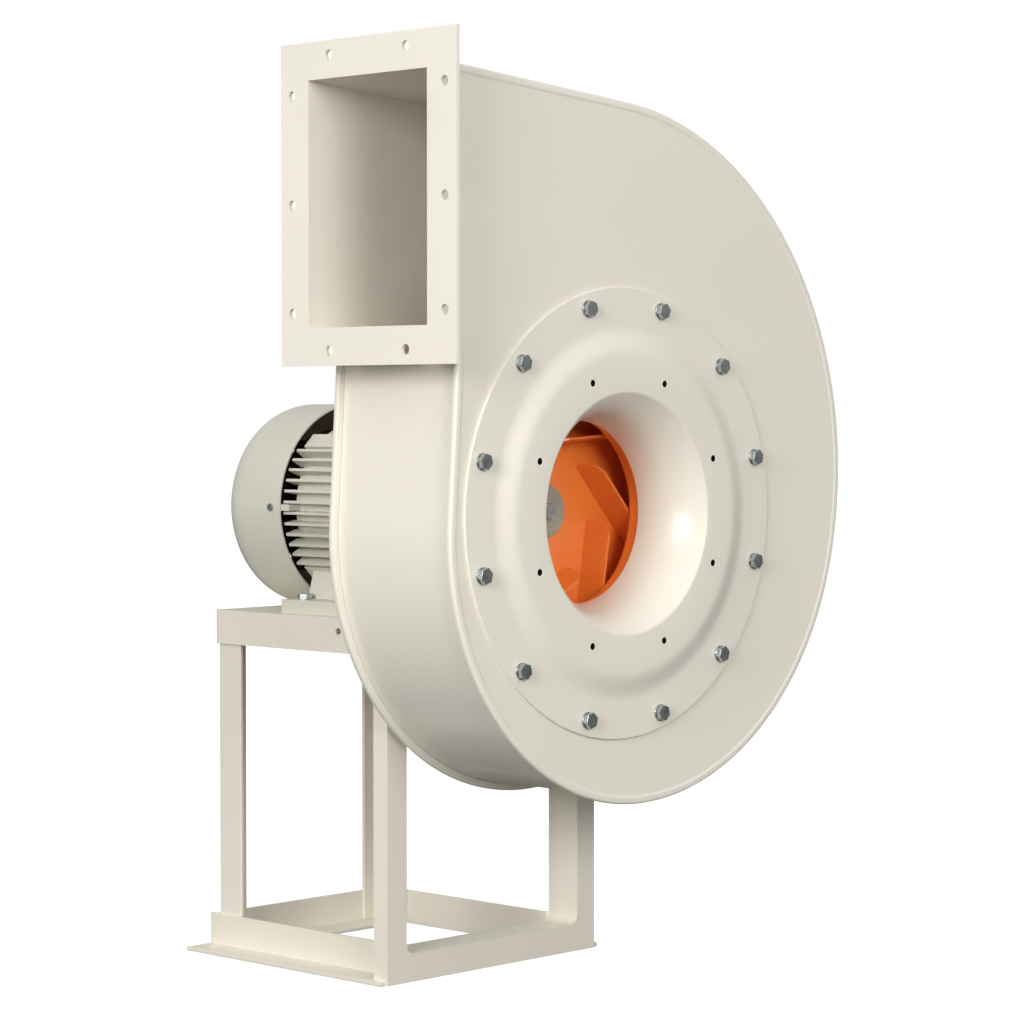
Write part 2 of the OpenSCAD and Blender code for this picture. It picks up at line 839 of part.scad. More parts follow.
wire_hole_r = 14;
wire_back = 26;
eye_bolt_back = 80;
eye_bolt_y = box_y + eye_bolt_back;
eye_boss_r = 14;
eye_boss_z = fin_r + 1;
eye_thread_d = 10;
eye_thread_l = 14;
eye_ring_r = 19;
eye_wire_r = 5.5;
eye_collar_r = 12;
eye_collar_t = 5;
shield_screw_d = 6;
shield_screw_l = 20;
shield_screw_flats = 10;
shield_screw_head = 4;
shield_screw_at = 112.5;

// Places a shape on the four corner pads, with its own Z towards the inlet
module on_pads(y) {
    at(y) around(4, 45) translate([shield_screw_at, 0, 0]) children();
}

// Motor tube with its fins, corner pads, feet and the neck under the terminal box
module motor_frame() {
    color("#CFCFBF") difference() {
        union() {
            at(tube_rear) {
                linear_extrude(tube_l) {
                    circle(tube_r, $fn = fine);
                    for (a = [45 : 90 : 315]) rotate(a) translate([0, -pad_w / 2]) square([pad_r, pad_w]);
                }
                translate([0, 0, -fin_over]) linear_extrude(tube_l + fin_over) for (a = [0, 180])
                    fins(a, side_fins_n);
                linear_extrude(tube_l) for (a = [90, 270]) fins(a, end_fins_n);
            }
            for (s = [0, 1]) mirror([s, 0, 0]) {
                translate([foot_a / 2 - foot_w / 2, foot_front_y - foot_front_over, bed_top])
                    cube([foot_w, foot_l, foot_t]);
                translate([0, tube_rear - cut, shaft_h]) rotate([90, 0, 0])
                    linear_extrude(tube_rear - cut - foot_front_y + foot_front_over) polygon([
                        [foot_a / 2 - foot_w / 2, foot_t / 2 - motor_h], [foot_a / 2 - foot_w / 2 + web_t, foot_t / 2 - motor_h],
                        tube_r * dir(-39), tube_r * dir(-52)
                    ]);
            }
            translate([-neck_w / 2, box_y - box_l / 2 + neck_over, shaft_h])
                cube([neck_w, box_l - 2 * neck_over, box_z]);
            translate([0, eye_bolt_y, shaft_h]) cylinder(h = eye_boss_z, r = eye_boss_r, $fn = 48);
        }
        at(tube_rear + fin_over + cut) cylinder(h = tube_l + fin_over + 2 * cut, r = bore_r, $fn = fine);
        translate([0, 0, bed_top - cut]) linear_extrude(foot_t + 2 * cut) foot_spots()
            circle(d = foot_hole_d, $fn = 32);
        translate([0, box_y + wire_back, shaft_h]) cylinder(h = box_z + cut, r = wire_hole_r, $fn = 48);
        translate([0, eye_bolt_y, shaft_h + eye_boss_z - eye_thread_l])
            cylinder(h = eye_thread_l + cut, d = eye_thread_d, $fn = 32);
        on_pads(tube_front) translate([0, 0, -shield_screw_l]) cylinder(h = shield_screw_l + cut, d = shield_screw_d, $fn = 32);
        on_pads(tube_rear) translate([0, 0, -cut]) cylinder(h = shield_screw_l + cut, d = shield_screw_d, $fn = 32);
    }
}

module drive_end_shield() {
    inner_r = bore_r - spigot_t;
    color("#C9C9BA") difference() {
        at(tube_front) rotate_extrude($fn = fine) polygon([
            [shaft_hole_r, shield_lead], [boss_r, shield_lead], [boss_r, shield_t + shield_cone],
            [shield_flat_r, shield_t], [shield_r, shield_t], [shield_r, 0], [bore_r, 0], [bore_r, -spigot_l], [inner_r, -spigot_l], [inner_r, shield_t / 2],
            [boss_r, shield_cone], [boss_r, 0], [bearing_r, 0],
            [bearing_r, shield_lead - boss_wall], [shaft_hole_r, shield_lead - boss_wall]
        ]);
        on_pads(tube_front) translate([0, 0, -cut])
            cylinder(h = shield_t + shield_cone, d = shield_screw_d + 2 * fit, $fn = 32);
    }
}

// Rear shield: closes the tube, holds the rear bearing and carries the cowl on four lugs
module rear_end_shield() {
    inner_r = bore_r - spigot_t;
    color("#BDBDAE") difference() {
        union() {
            at(tube_rear) rotate_extrude($fn = fine) polygon([
                [shaft_hole_r, -rear_boss_l], [boss_r, -rear_boss_l], [boss_r, -shield_t - shield_cone / 2],
                [rear_shield_r, -shield_t], [rear_shield_r, 0], [bore_r, 0], [bore_r, spigot_l],
                [inner_r, spigot_l], [inner_r, -shield_t / 2], [boss_r, -shield_t / 2], [boss_r, spigot_l],
                [bearing_r, spigot_l], [bearing_r, spigot_l - bearing_w], [shaft_hole_r, spigot_l - bearing_w]
            ]);
            at(tube_rear) translate([0, 0, -shield_t]) linear_extrude(shield_t) for (a = [45 : 90 : 315])
                rotate(a) translate([bore_r, -pad_w / 2]) square([pad_r - bore_r, pad_w]);
            at(tube_rear) translate([0, 0, -lug_l]) linear_extrude(lug_l) intersection() {
                circle(cowl_r - cowl_t - run_fit, $fn = fine);
                around(lugs_n, 0) translate([lug_in, -lug_w / 2]) square([cowl_r, lug_w]);
            }
        }
        on_pads(tube_rear) translate([0, 0, -shield_t - cut])
            cylinder(h = shield_t + 2 * cut, d = shield_screw_d + 2 * fit, $fn = 32);
        on_cowl() translate([0, 0, -cowl_screw_l]) cylinder(h = cowl_screw_l, d = cowl_screw_d, $fn = 32);
    }
}

// Places a shape on the cowl's screws, with its own Z pointing out of the cowl
module on_cowl() {
    at(cowl_front + cowl_screw_back) around(lugs_n, 0) translate([cowl_r, 0, 0]) rotate([0, 90, 0]) children();
}

module shield_screws() {
    color("#9FA6A8") {
        on_pads(tube_front) translate([0, 0, shield_t])
            hex_bolt(shield_screw_d, shield_screw_flats, shield_screw_head, shield_t + shield_screw_l - 2 * cut);
        on_pads(tube_rear) translate([0, 0, -shield_t]) mirror([0, 0, 1])
            hex_bolt(shield_screw_d, shield_screw_flats, shield_screw_head, shield_t + shield_screw_l - 2 * cut);
    }
}

module foot_bolts() {
    color("#B9C2C6") translate([0, 0, bed_top + foot_t]) foot_spots()
        hex_bolt(foot_bolt_d, foot_bolt_flats, foot_bolt_head, foot_t + bed_t + foot_nut_h);
}

module foot_nuts() {
    color("#9FA6A8") translate([0, 0, bed_top - bed_t - foot_nut_h]) foot_spots()
        hex_nut(foot_bolt_d + 2 * fit, foot_bolt_flats, foot_nut_h);
}

slot_shares = [[0.3, 0.42], [0.52, 0.64], [0.74, 0.86]];
spoke_w = 9;
cowl_flat_r = cowl_r - cowl_bend_r;

// Fan cowl: a drawn bowl with a ring of slots in its end for the cooling air
module fan_cowl() {
    color("#CDCCBD") difference() {
        at(cowl_front) rotate_extrude($fn = fine) {
            translate([cowl_r - cowl_t, cowl_bend_r - cowl_l]) square([cowl_t, cowl_l - cowl_bend_r]);
            translate([0, -cowl_l]) square([cowl_flat_r, cowl_t]);
            translate([cowl_flat_r, cowl_bend_r - cowl_l]) intersection() {
                difference() {
                    circle(cowl_bend_r, $fn = fine);
                    circle(cowl_bend_r - cowl_t, $fn = fine);
                }
                translate([0, -cowl_bend_r]) square([cowl_bend_r, cowl_bend_r]);
            }
        }
        at(cowl_front + cowl_l + cut) linear_extrude(cowl_t + 2 * cut) difference() {
            for (s = slot_shares) difference() {
                circle(cowl_flat_r * s[1], $fn = fine);
                circle(cowl_flat_r * s[0], $fn = fine);
            }
            around(3, 0) square([2 * cowl_r, spoke_w], center = true);
        }
        on_cowl() translate([0, 0, -2 * cowl_t]) cylinder(h = 4 * cowl_t, d = cowl_screw_d + 2 * fit, $fn = 32);
    }
}

module cowl_screws() {
    color("#B9C2C6") on_cowl() {
        cylinder(h = cowl_screw_head, r = cowl_screw_head_r, $fn = 32);
        translate([0, 0, -cowl_screw_l]) cylinder(h = cowl_screw_l + cowl_screw_head / 2, d = cowl_screw_d, $fn = 32);
    }
}

core_lead = 30;
core_front = tube_front + core_lead;
core_l = 150;
rotor_r = 69.5;
air_gap = 0.5;
core_bore_r = 25;
winding_over = 22;
winding_in = 4;

module stator_core() {
    color("#7C8083") ring(core_front + core_l, core_l, bore_r, rotor_r + air_gap);
}

module stator_windings() {
    color("#A9632F") for (y = [core_front, core_front + core_l + winding_over])
        ring(y, winding_over, bore_r - 2 * winding_in, rotor_r + winding_in);
}

module bearing_rings(outer, inner) {
    ring(front_bearing_y, bearing_w, outer, inner);
    ring(rear_bearing_y, bearing_w, outer, inner);
}

module bearing_outer_rings() {
    color("#A7ADB0") bearing_rings(bearing_r, bearing_r - bearing_race);
}

module bearing_inner_rings() {
    color("#A7ADB0") bearing_rings(bearing_seat_r + bearing_race, bearing_seat_r);
}

module bearing_balls() {
    track = (bearing_r + bearing_seat_r) / 2;
    ball = (bearing_r - bearing_seat_r) / 2 - bearing_race - run_fit;
    color("#C4C9CC") for (y = [front_bearing_y, rear_bearing_y]) at(y - bearing_w / 2)
        around(bearing_balls_n, 0) translate([track, 0, 0]) sphere(ball, $fn = 24);
}

// Terminal box on top of the motor
box_base_t = 5;
gasket_t = 1.5;
lid_screw_d = 5;
lid_screw_in = 9;
lid_screw_head = 3;
lid_screw_head_r = 4.5;
board_t = 8;
board_w = 56;
board_l = 46;
board_lead = 14;
stud_d = 5;
stud_h = 26;
stud_gap = 16;
stud_rows = 22;
stud_nut_flats = 8;
stud_nut_h = 4;
gland_d = 25;
gland_flats = 30;
gland_hex_t = 8;
gland_l = 24;
gland_thread_l = 7;
gland_hole_d = 14;
gland_z = 24;

module box_block(w, l, h) {
    translate([-w / 2, box_y - l / 2, 0]) cube([w, l, h]);
}

module lid_spots() {
    for (x = [-1, 1], y = [-1, 1])
        translate([x * (box_w / 2 - lid_screw_in), box_y + y * (box_l / 2 - lid_screw_in), 0]) children();
}

module terminal_box() {
    color("#C8C8B9") translate([0, 0, shaft_h + box_z]) difference() {
        union() {
            difference() {
                box_block(box_w, box_l, box_h);
                translate([0, 0, box_base_t]) box_block(box_w - 2 * box_t, box_l - 2 * box_t, box_h);
            }
            lid_spots() cylinder(h = box_h, r = lid_screw_in - 1, $fn = 32);
        }
        translate([0, box_y + wire_back, -cut]) cylinder(h = box_base_t + 2 * cut, r = wire_hole_r, $fn = 48);
        lid_spots() translate([0, 0, box_h - 4 * lid_screw_d]) cylinder(h = 4 * lid_screw_d + cut, d = lid_screw_d, $fn = 32);
        translate([box_w / 2 - box_t - cut, box_y, gland_z]) rotate([0, 90, 0])
            cylinder(h = box_t + 2 * cut, d = gland_d, $fn = 48);
    }
}

module terminal_gasket() {
    color("#2B2B2B") translate([0, 0, shaft_h + box_z + box_h]) difference() {
        box_block(box_w, box_l, gasket_t);
        translate([0, 0, -cut]) box_block(box_w - 4 * box_t, box_l - 4 * box_t, gasket_t + 2 * cut);
        lid_spots() translate([0, 0, -cut]) cylinder(h = gasket_t + 2 * cut, d = lid_screw_d + 2 * fit, $fn = 32);
    }
}

module terminal_lid() {
    color("#CDCDBE") translate([0, 0, shaft_h + box_z + box_h + gasket_t]) difference() {
        union() {
            difference() {
                box_block(box_w, box_l, box_lid_h);
                translate([0, 0, -box_t]) box_block(box_w - 2 * box_t, box_l - 2 * box_t, box_lid_h);
            }
            lid_spots() cylinder(h = box_lid_h - box_t / 2, r = lid_screw_in - 1, $fn = 32);
        }
        lid_spots() translate([0, 0, -cut]) cylinder(h = box_lid_h + 2 * cut, d = lid_screw_d + 2 * fit, $fn = 32);
    }
}

module terminal_lid_screws() {
    top = shaft_h + box_z + box_h + gasket_t + box_lid_h;
    color("#B9C2C6") translate([0, 0, top]) lid_spots() {
        cylinder(h = lid_screw_head, r = lid_screw_head_r, $fn = 32);
        translate([0, 0, -box_lid_h - 3 * lid_screw_d])
            cylinder(h = box_lid_h + 3 * lid_screw_d + lid_screw_head / 2, d = lid_screw_d, $fn = 32);
    }
}

module stud_spots() {
    for (x = [-1, 0, 1], y = [-1, 1]) translate([x * stud_gap, box_y - board_lead + y * stud_rows / 2, 0]) children();
}

module terminal_board() {
    color("#5A4636") translate([0, 0, shaft_h + box_z + box_base_t]) difference() {
        translate([0, -board_lead, 0]) box_block(board_w, board_l, board_t);
        stud_spots() translate([0, 0, -cut]) cylinder(h = board_t + 2 * cut, d = stud_d, $fn = 32);
    }
}

module terminal_studs() {
    color("#C2A24C") translate([0, 0, shaft_h + box_z + box_base_t]) stud_spots() {
        cylinder(h = stud_h, d = stud_d, $fn = 32);
        translate([0, 0, board_t]) cylinder(h = stud_nut_h, d = stud_nut_flats / cos(30), $fn = 6);
    }
}

module cable_gland() {
    color("#2E2E30") translate([box_w / 2, box_y, shaft_h + box_z + gland_z]) rotate([0, 90, 0]) difference() {
        union() {
            translate([0, 0, -box_t - gland_thread_l]) cylinder(h = gland_l, d = gland_d, $fn = 48);
            cylinder(h = gland_hex_t, d = gland_flats / cos(30), $fn = 6);
            translate([0, 0, gland_hex_t]) cylinder(h = gland_l - gland_hex_t, r1 = gland_d / 2 + 1, r2 = gland_hole_d / 2 + 3);
        }
        translate([0, 0, -box_t - gland_thread_l - cut])
            cylinder(h = 2 * gland_l + box_t, d = gland_hole_d, $fn = 48);
    }
}

module lifting_eye() {
    color("#8E9496") translate([0, eye_bolt_y, shaft_h + eye_boss_z]) {
        translate([0, 0, eye_collar_t + eye_ring_r]) rotate([90, 0, 0]) rotate_extrude($fn = 72)
            translate([eye_ring_r - eye_wire_r / 2, 0]) circle(eye_wire_r, $fn = 48);
        cylinder(h = eye_collar_t, r = eye_collar_r, $fn = 48);
        translate([0, 0, -eye_thread_l]) cylinder(h = eye_thread_l + eye_collar_t / 2, d = eye_thread_d, $fn = 32);
    }
}

// Rotor: the impeller and everything that turns with the motor's shaft
module impeller_back_plate() {
    color("#E8702E") ring(plate_y + back_t, back_t, impeller_r, hub_r);
}

module impeller_shroud() {
    bend_in = eye_r + shroud_bend_r;
    color("#E56A28") at(plate_y) rotate_extrude($fn = fine) {
        translate([eye_r, eye_w + shroud_bend_r]) square([shroud_t, neck_l - shroud_bend_r]);
        translate([bend_in, eye_w + shroud_bend_r]) intersection() {
            difference() {
                circle(shroud_bend_r);
                circle(shroud_bend_r - shroud_t);
            }
            translate([-shroud_bend_r, -shroud_bend_r]) square(shroud_bend_r);
        }
        polygon([
            [bend_in, eye_w], [impeller_r, rim_blade_w], [impeller_r, rim_blade_w + shroud_t],
            [bend_in, eye_w + shroud_t]
        ]);
    }
}

// Flat plates that lean out of the shaft's direction, trimmed between the back plate and the shroud
module impeller_blades() {
    lean_w = eye_w / cos(blade_lean);
    bend_in = eye_r + shroud_bend_r;
    nose = [
        [0, -lean_w], [0, 0.4 * lean_w], [0.1 * blade_sweep, 0.65 * lean_w], [0.4 * blade_sweep, 0.85 * lean_w],
        [blade_sweep, lean_w], [4 * blade_sweep, 2 * lean_w]
    ];
    color("#DE5F1E") at(plate_y) intersection() {
        around(blades_n, blade_angle) translate([blade_foot_r, 0, 0]) rotate([0, blade_lean, 0])
            rotate([90, 0, -90]) linear_extrude(blade_t, center = true)
            polygon(concat(nose, [[impeller_r, 2 * lean_w], [impeller_r, -lean_w]]));
        rotate_extrude($fn = fine) polygon([
            [hub_r, 0], [impeller_r, 0], [impeller_r, rim_blade_w], [bend_in, eye_w], [hub_r, eye_w]
        ]);
    }
}

key_w = 10;
key_h = 8;
key_l = 50;
key_depth = 5;
key_lead = 12;

module key_block(side, under, over, long, back) {
    translate([-side / 2, shaft_d / 2 - under, -back - long]) cube([side, under + over, long]);
}

module impeller_hub() {
    color("#DC6424") difference() {
        at(hub_y) rotate_extrude($fn = fine) polygon([
            [shaft_d / 2, 0], [hub_r, 0], [hub_r, -hub_lead - back_t], [hub_flange_r, -hub_lead - back_t],
            [hub_flange_r, -hub_lead - back_t - hub_flange_t], [hub_r, -hub_lead - back_t - hub_flange_t],
            [hub_r, -hub_l], [shaft_d / 2, -hub_l]
        ]);
        at(hub_y) key_block(key_w, key_h, key_h - key_depth, hub_l + 2 * cut, -cut);
    }
}

module hub_key() {
    color("#9A9FA2") at(hub_y) key_block(key_w, key_depth, key_h - key_depth, key_l, key_lead);
}

hub_bolt_d = 12;
hub_bolt_flats = 19;
hub_bolt_head = 7.5;
hub_bolt_l = 30;

module hub_washer() {
    color("#A5A896") ring(hub_y, hub_washer_t, hub_washer_r, hub_bolt_d / 2 + fit);
}

module hub_bolt() {
    color("#8F979B") at(hub_y - hub_washer_t)
        hex_bolt(hub_bolt_d, hub_bolt_flats, hub_bolt_head, hub_washer_t + hub_lead + hub_bolt_l);
}

shaft_tail_r = 16;
shaft_tail_l = 62;

module motor_shaft() {
    front_seat = shoulder_y - front_bearing_y;
    core_end = front_seat - (rear_bearing_y - bearing_w - front_bearing_y);
    rear_seat = shoulder_y - rear_bearing_y - boss_wall;
    color("#9FA4A6") difference() {
        at(shoulder_y) rotate_extrude() polygon([
            [0, shaft_l], [shaft_d / 2, shaft_l], [shaft_d / 2, 0], [bearing_seat_r, 0], [bearing_seat_r, front_seat],
            [core_bore_r, front_seat], [core_bore_r, core_end], [bearing_seat_r, core_end],
            [bearing_seat_r, rear_seat], [shaft_tail_r, rear_seat], [shaft_tail_r, rear_seat - shaft_tail_l],
            [0, rear_seat - shaft_tail_l]
        ]);
        at(hub_y) key_block(key_w, key_depth, key_h, key_l, key_lead);
        at(shaft_end) translate([0, 0, -hub_bolt_l - cut]) cylinder(h = hub_bolt_l + 2 * cut, d = hub_bolt_d, $fn = 32);
    }
}

module rotor_core() {
    color("#6F7376") ring(core_front + core_l, core_l, rotor_r, core_bore_r);
}

fan_r = 97;
fan_hub_r = 26;
fan_hub_l = 26;
fan_plate_t = 3;
fan_blade_w = 30;
fan_blades_n = 6;

module cooling_fan() {
    fan_y = rear_bearing_y + boss_wall + shaft_tail_l;
    color("#3A3A3C") at(fan_y) {
        linear_extrude(fan_hub_l) difference() {
            circle(fan_hub_r);
            circle(shaft_tail_r);
        }
        translate([0, 0, fan_hub_l - fan_plate_t]) linear_extrude(fan_plate_t) difference() {
            circle(fan_r, $fn = fine);
            circle(fan_hub_r - 1);
        }
        translate([0, 0, fan_hub_l - fan_blade_w]) around(fan_blades_n, 0)
            translate([fan_hub_r - 1, -fan_plate_t / 2, 0]) cube([fan_r - fan_hub_r, fan_plate_t, fan_blade_w - 1]);
    }
}

front_side_plate();
rear_side_plate();
scroll_band();
cutoff_plate();
outlet_flange();
inlet_cover();
inlet_nozzle();
cover_bolts();
cover_washers();
cover_nuts();
inlet_rivet_nuts();
shaft_seal_plate();
shaft_felt();
seal_screws();
housing_disc();
housing_bolts();
housing_nuts();
front_leg_left();
front_leg_right();
front_beam_lower();
front_beam_upper();
motor_bed();
bed_bolts();
bed_nuts();
rear_leg_left();
rear_leg_right();
side_beam_left();
side_beam_right();
rear_beam();
motor_frame();
drive_end_shield();
rear_end_shield();
shield_screws();
foot_bolts();
foot_nuts();
fan_cowl();
cowl_screws();
stator_core();
stator_windings();
bearing_outer_rings();
bearing_balls();
terminal_box();
terminal_gasket();
terminal_lid();
terminal_lid_screws();
terminal_board();
terminal_studs();
cable_gland();
lifting_eye();
impeller_back_plate();
impeller_shroud();
impeller_blades();
impeller_hub();
cooling_fan();
hub_key();
hub_washer();
hub_bolt();
motor_shaft();
rotor_core();
bearing_inner_rings();
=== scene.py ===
import json
import math

import bmesh
import bpy
from bpy.props import FloatProperty, FloatVectorProperty, IntProperty, PointerProperty
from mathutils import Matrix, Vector


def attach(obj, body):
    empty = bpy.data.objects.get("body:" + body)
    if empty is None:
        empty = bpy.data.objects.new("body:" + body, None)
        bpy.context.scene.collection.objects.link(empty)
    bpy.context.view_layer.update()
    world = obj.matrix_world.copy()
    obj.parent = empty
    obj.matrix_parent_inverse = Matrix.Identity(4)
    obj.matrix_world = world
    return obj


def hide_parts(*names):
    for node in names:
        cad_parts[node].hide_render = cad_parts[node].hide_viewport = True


bl_info = {
    "name": "Centrifugal Blower",
    "version": (1, 0, 0),
    "blender": (4, 5, 0),
    "location": "3D View > Sidebar > Blower",
    "description": "Dresses the blower with detailed pieces and finishes on a plain floor",
    "category": "Object",
}

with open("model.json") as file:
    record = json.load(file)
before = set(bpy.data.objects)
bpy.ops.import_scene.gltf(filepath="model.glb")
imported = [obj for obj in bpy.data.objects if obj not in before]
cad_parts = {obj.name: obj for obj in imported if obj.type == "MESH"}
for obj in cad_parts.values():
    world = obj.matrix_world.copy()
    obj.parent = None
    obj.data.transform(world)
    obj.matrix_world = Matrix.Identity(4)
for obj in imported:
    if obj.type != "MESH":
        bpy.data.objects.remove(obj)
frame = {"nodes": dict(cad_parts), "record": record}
NODES = frame["nodes"]
SLOTS = {entry["node"]: entry["material_slot"] for entry in frame["record"]["subparts"]}
FINISHES = {}
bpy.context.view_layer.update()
MM = 0.001

# Stations of the frame in millimetres: X right, Y from the inlet to the motor, Z up
SHAFT_Z = 565.0
FRONT_Y = -391.0  # outer face of the front side plate
BACK_Y = -192.0  # outer face of the rear side plate
COVER_Y = -394.0  # face of the inlet cover's border
RING_Y = -402.0  # face of the inlet cover's raised ring
DUCT_X = -316.0  # end of the outlet duct
SHEET = 2.5  # sheet of the side plates and the band

# The scroll's outline has three arcs, each a centre and a radius, with the shaft at zero
TOP = ((-26.099, 45.483), 441.0)
RIGHT = ((36.0, 30.0), 377.1)
LOW = ((36.0, -23.0), 324.2)
TOP_STEPS = 56
RIGHT_STEPS = 44
LOW_STEPS = 52
WALL_STEPS = 6
JOINT = -14.0  # degrees at which the top arc meets the right one
TOP_SLOPE = 4.6  # degrees that the duct's upper wall falls towards the scroll's top
LEFT_SLOPE = 3.6  # degrees that the wall under the outlet leans
DUCT_LOW_Z = 204.6  # lower wall of the duct over the shaft
BAND_INSET = 9.3  # how far the band's outer face lies in from the outline

# Side plates: outer face, the way that is outwards, and radius of the hole round the shaft
SIDE_PLATES = {
    "front_side_plate": (FRONT_Y, -1, 232.0),
    "rear_side_plate": (BACK_Y, 1, 55.0),
}
# Section of a side plate's folded rim: how far in from the outline, how far out of the plate
RIM_SECTION = (
    (11.0, 0.0),
    (9.9, 0.12),
    (9.2, 0.5),
    (8.4, 0.88),
    (7.4, 1.0),
    (3.0, 1.0),
    (1.7, 0.72),
    (0.75, 0.0),
    (0.2, -1.0),
    (0.0, -2.3),
    (0.0, -5.2),
    (0.25, -6.2),
    (0.9, -6.8),
    (1.8, -7.0),
    (8.6, -7.0),
    (9.0, -6.6),
    (9.0, -3.2),
    (9.3, -2.6),
    (10.2, -SHEET),
)

# Inlet cover: radii from the shaft of its edge, its flat border and its pressed step
COVER_R = 267.0
COVER_CHAMFER = 0.8
COVER_SHEET = 3.0
COVER_GAP = 0.2  # between the cover and the front side plate
BORDER_R = (266.2, 223.5)
STEP_R = (222.0, 187.0)
STEP_STEPS = 14
# The rolled lip between ring and nozzle: centre as (radius, y), radius and angles of its points
LIP = (145.0, -397.0)
LIP_ROLL = 5.0
LIP_ANGLES = (0, 12, 24, 36, 47)
LIP_THICKENING = 0.8
# Radii at which the cover's inner face leaves the flat, passes the lip and ends
FLAT_END_R = 150.0
LIP_END_R = 141.5
INNER_END_R = 134.0
# The nozzle's curve is an arc: centre as (radius, y) and the radii of its air side and its back
BELL = (229.5, -319.0)
BELL_AIR = 120.0
BELL_BACK = 118.0
BELL_COVER_ANGLES = (42.5, 41, 39, 37, 35)  # the part of the curve that is pressed in the cover
BELL_END = 35  # degrees at which the nozzle takes over
# Holes of the threaded inserts in the raised ring
INSERT_CIRCLE_R = 166.0
INSERT_COUNT = 8
INSERT_START = 22.5
INSERT_HOLE_R = 7.5
HOLE_STEPS = 32
CUT_MARGIN = (2.0, 1.0)  # how far a hole's cutter stands out before and behind the sheet

# Dressing of the CAD nodes
SAME_CORNER = 0.01 * MM
FLAT_ANGLE = 0.6
EDGE_ANGLE = 30
SHADING_WEIGHT = 60
INNER_SLOTS = (
    "copper",
    "lamination_steel",
    "bearing_steel",
    "terminal_brass",
    "black_rubber",
    "board_plastic",
    "black_plastic",
    "grey_felt",
)

# Sockets of a colour mix, whose names it shares with other kinds of mix
MIX_FACTOR, MIX_FIRST, MIX_SECOND = 0, 6, 7
MIX_COLOUR = 2
# The part of a noise's range that holds nearly all of its values
NOISE_RANGE = (0.3, 0.7)

# Stage, in metres
CAMERA_PLACE = (-2.6658, -2.7719, 0.6859)
CAMERA_AIM = (0.7206, 0.6925, -0.0333)
CAMERA_FRAME_MM = 36
CAMERA_REACH = 200
# Lamps: place, the point that each looks at, and width
KEY_LAMP = ((-5.0, -1.7, 1.9), (-0.1, -0.3, 0.7), 2.6)
FILL_LAMP = ((-1.7, -4.7, 1.9), (0.0, -0.3, 0.7), 2.0)
# The surround brightens upwards: height of the direction and share of the brightness there
SURROUND_LOW = (-0.5, 0.3)
SURROUND_HIGH = (0.9, 1.4)
SURROUND_TINT = (1, 0.995, 0.98, 1)
WHITE = (1, 1, 1, 1)
FLOOR_HALF = 30
FLOOR_CELLS = 8
FLOOR_DROP = 0.0005
FLOOR_PAINT = (0.8, 0.8, 0.8, 1)


def linear(code):
    """The linear colour of an sRGB hex value."""
    parts = [int(code[i : i + 2], 16) / 255 for i in (0, 2, 4)]
    return tuple(c / 12.92 if c <= 0.04045 else ((c + 0.055) / 1.055) ** 2.4 for c in parts)


def colour(name, code, text):
    return FloatVectorProperty(
        name=name, description=text, default=linear(code), size=3, subtype="COLOR", min=0, max=1
    )


def length(name, mm, text):
    return FloatProperty(
        name=name, description=text, default=mm * MM, min=0, unit="LENGTH", precision=4
    )


class BlowerSizes(bpy.types.PropertyGroup):
    """Sizes that a maker would change."""

    sheet_edge: length("Sheet edge", 0.5, "Rounding of cut sheet edges")
    flange_edge: length("Flange edge", 0.8, "Rounding of the outlet flange's edges")
    fold_edge: length("Fold edge", 1.32, "Rounding of the stand's folded sections")
    cast_edge: length("Cast edge", 0.9, "Rounding of cast edges on the motor")
    box_edge: length("Box edge", 1.26, "Rounding of the terminal box and its lid")
    head_chamfer: length("Head chamfer", 0.54, "Chamfer of bolts, nuts and screws")
    washer_chamfer: length("Washer chamfer", 0.63, "Chamfer of the hub washer")
    hub_bolt_chamfer: length("Hub bolt chamfer", 1.44, "Chamfer of the hub bolt's head")


class BlowerColours(bpy.types.PropertyGroup):
    """Colours of the finishes."""

    housing: colour("Housing enamel", "EFEADC", "Cream enamel of the scroll and its cover")
    stand: colour("Stand enamel", "EBE5D6", "Cream enamel of the stand")
    motor: colour("Motor enamel", "DCDACC", "Greenish cream enamel of the motor")
    impeller: colour("Impeller enamel", "FF8A3A", "Orange enamel of the impeller")
    zinc: colour("Zinc plate", "BEC3C3", "Bright zinc plate of the fasteners")
    steel: colour("Machined steel", "B9BAAC", "Bare turned steel")


class BlowerStage(bpy.types.PropertyGroup):
    """Camera, light and fineness."""

    lens: FloatProperty(
        name="Lens",
        description="Focal length in millimetres on a 36 mm frame",
        default=106.29,
        min=20,
        unit="CAMERA",
    )
    key: FloatProperty(
        name="Key light",
        description="Power of the large lamp on the left",
        default=165,
        min=0,
        unit="POWER",
    )
    fill: FloatProperty(
        name="Fill light",
        description="Power of the lamp beside the camera",
        default=95,
        min=0,
        unit="POWER",
    )
    sky: FloatProperty(
        name="Surround", description="Brightness of the white studio walls", default=0.5, min=0
    )
    bounce: FloatProperty(
        name="Floor bounce",
        description="Share of light that the floor throws back at the blower",
        default=0.18,
        min=0,
        max=1,
        subtype="FACTOR",
    )
    floor_glow: FloatProperty(
        name="Floor glow",
        description="Light added to the floor as the camera sees it",
        default=0.66,
        min=0,
    )
    turns: IntProperty(
        name="Round steps",
        description="Facets of a full circle on turned pieces",
        default=144,
        min=24,
    )


# Mesh building


def mm(*values):
    return Vector([v * MM for v in values])


def on_shaft(radius, angle, y):
    """Point at a radius and an angle seen from the inlet, in millimetres and degrees."""
    turn = math.radians(angle)
    return mm(radius * math.cos(turn), y, SHAFT_Z + radius * math.sin(turn))


def on_arc(centre, radius, angle):
    """Point of an arc in a plane, at an angle in degrees."""
    turn = math.radians(angle)
    return (centre[0] + radius * math.cos(turn), centre[1] + radius * math.sin(turn))


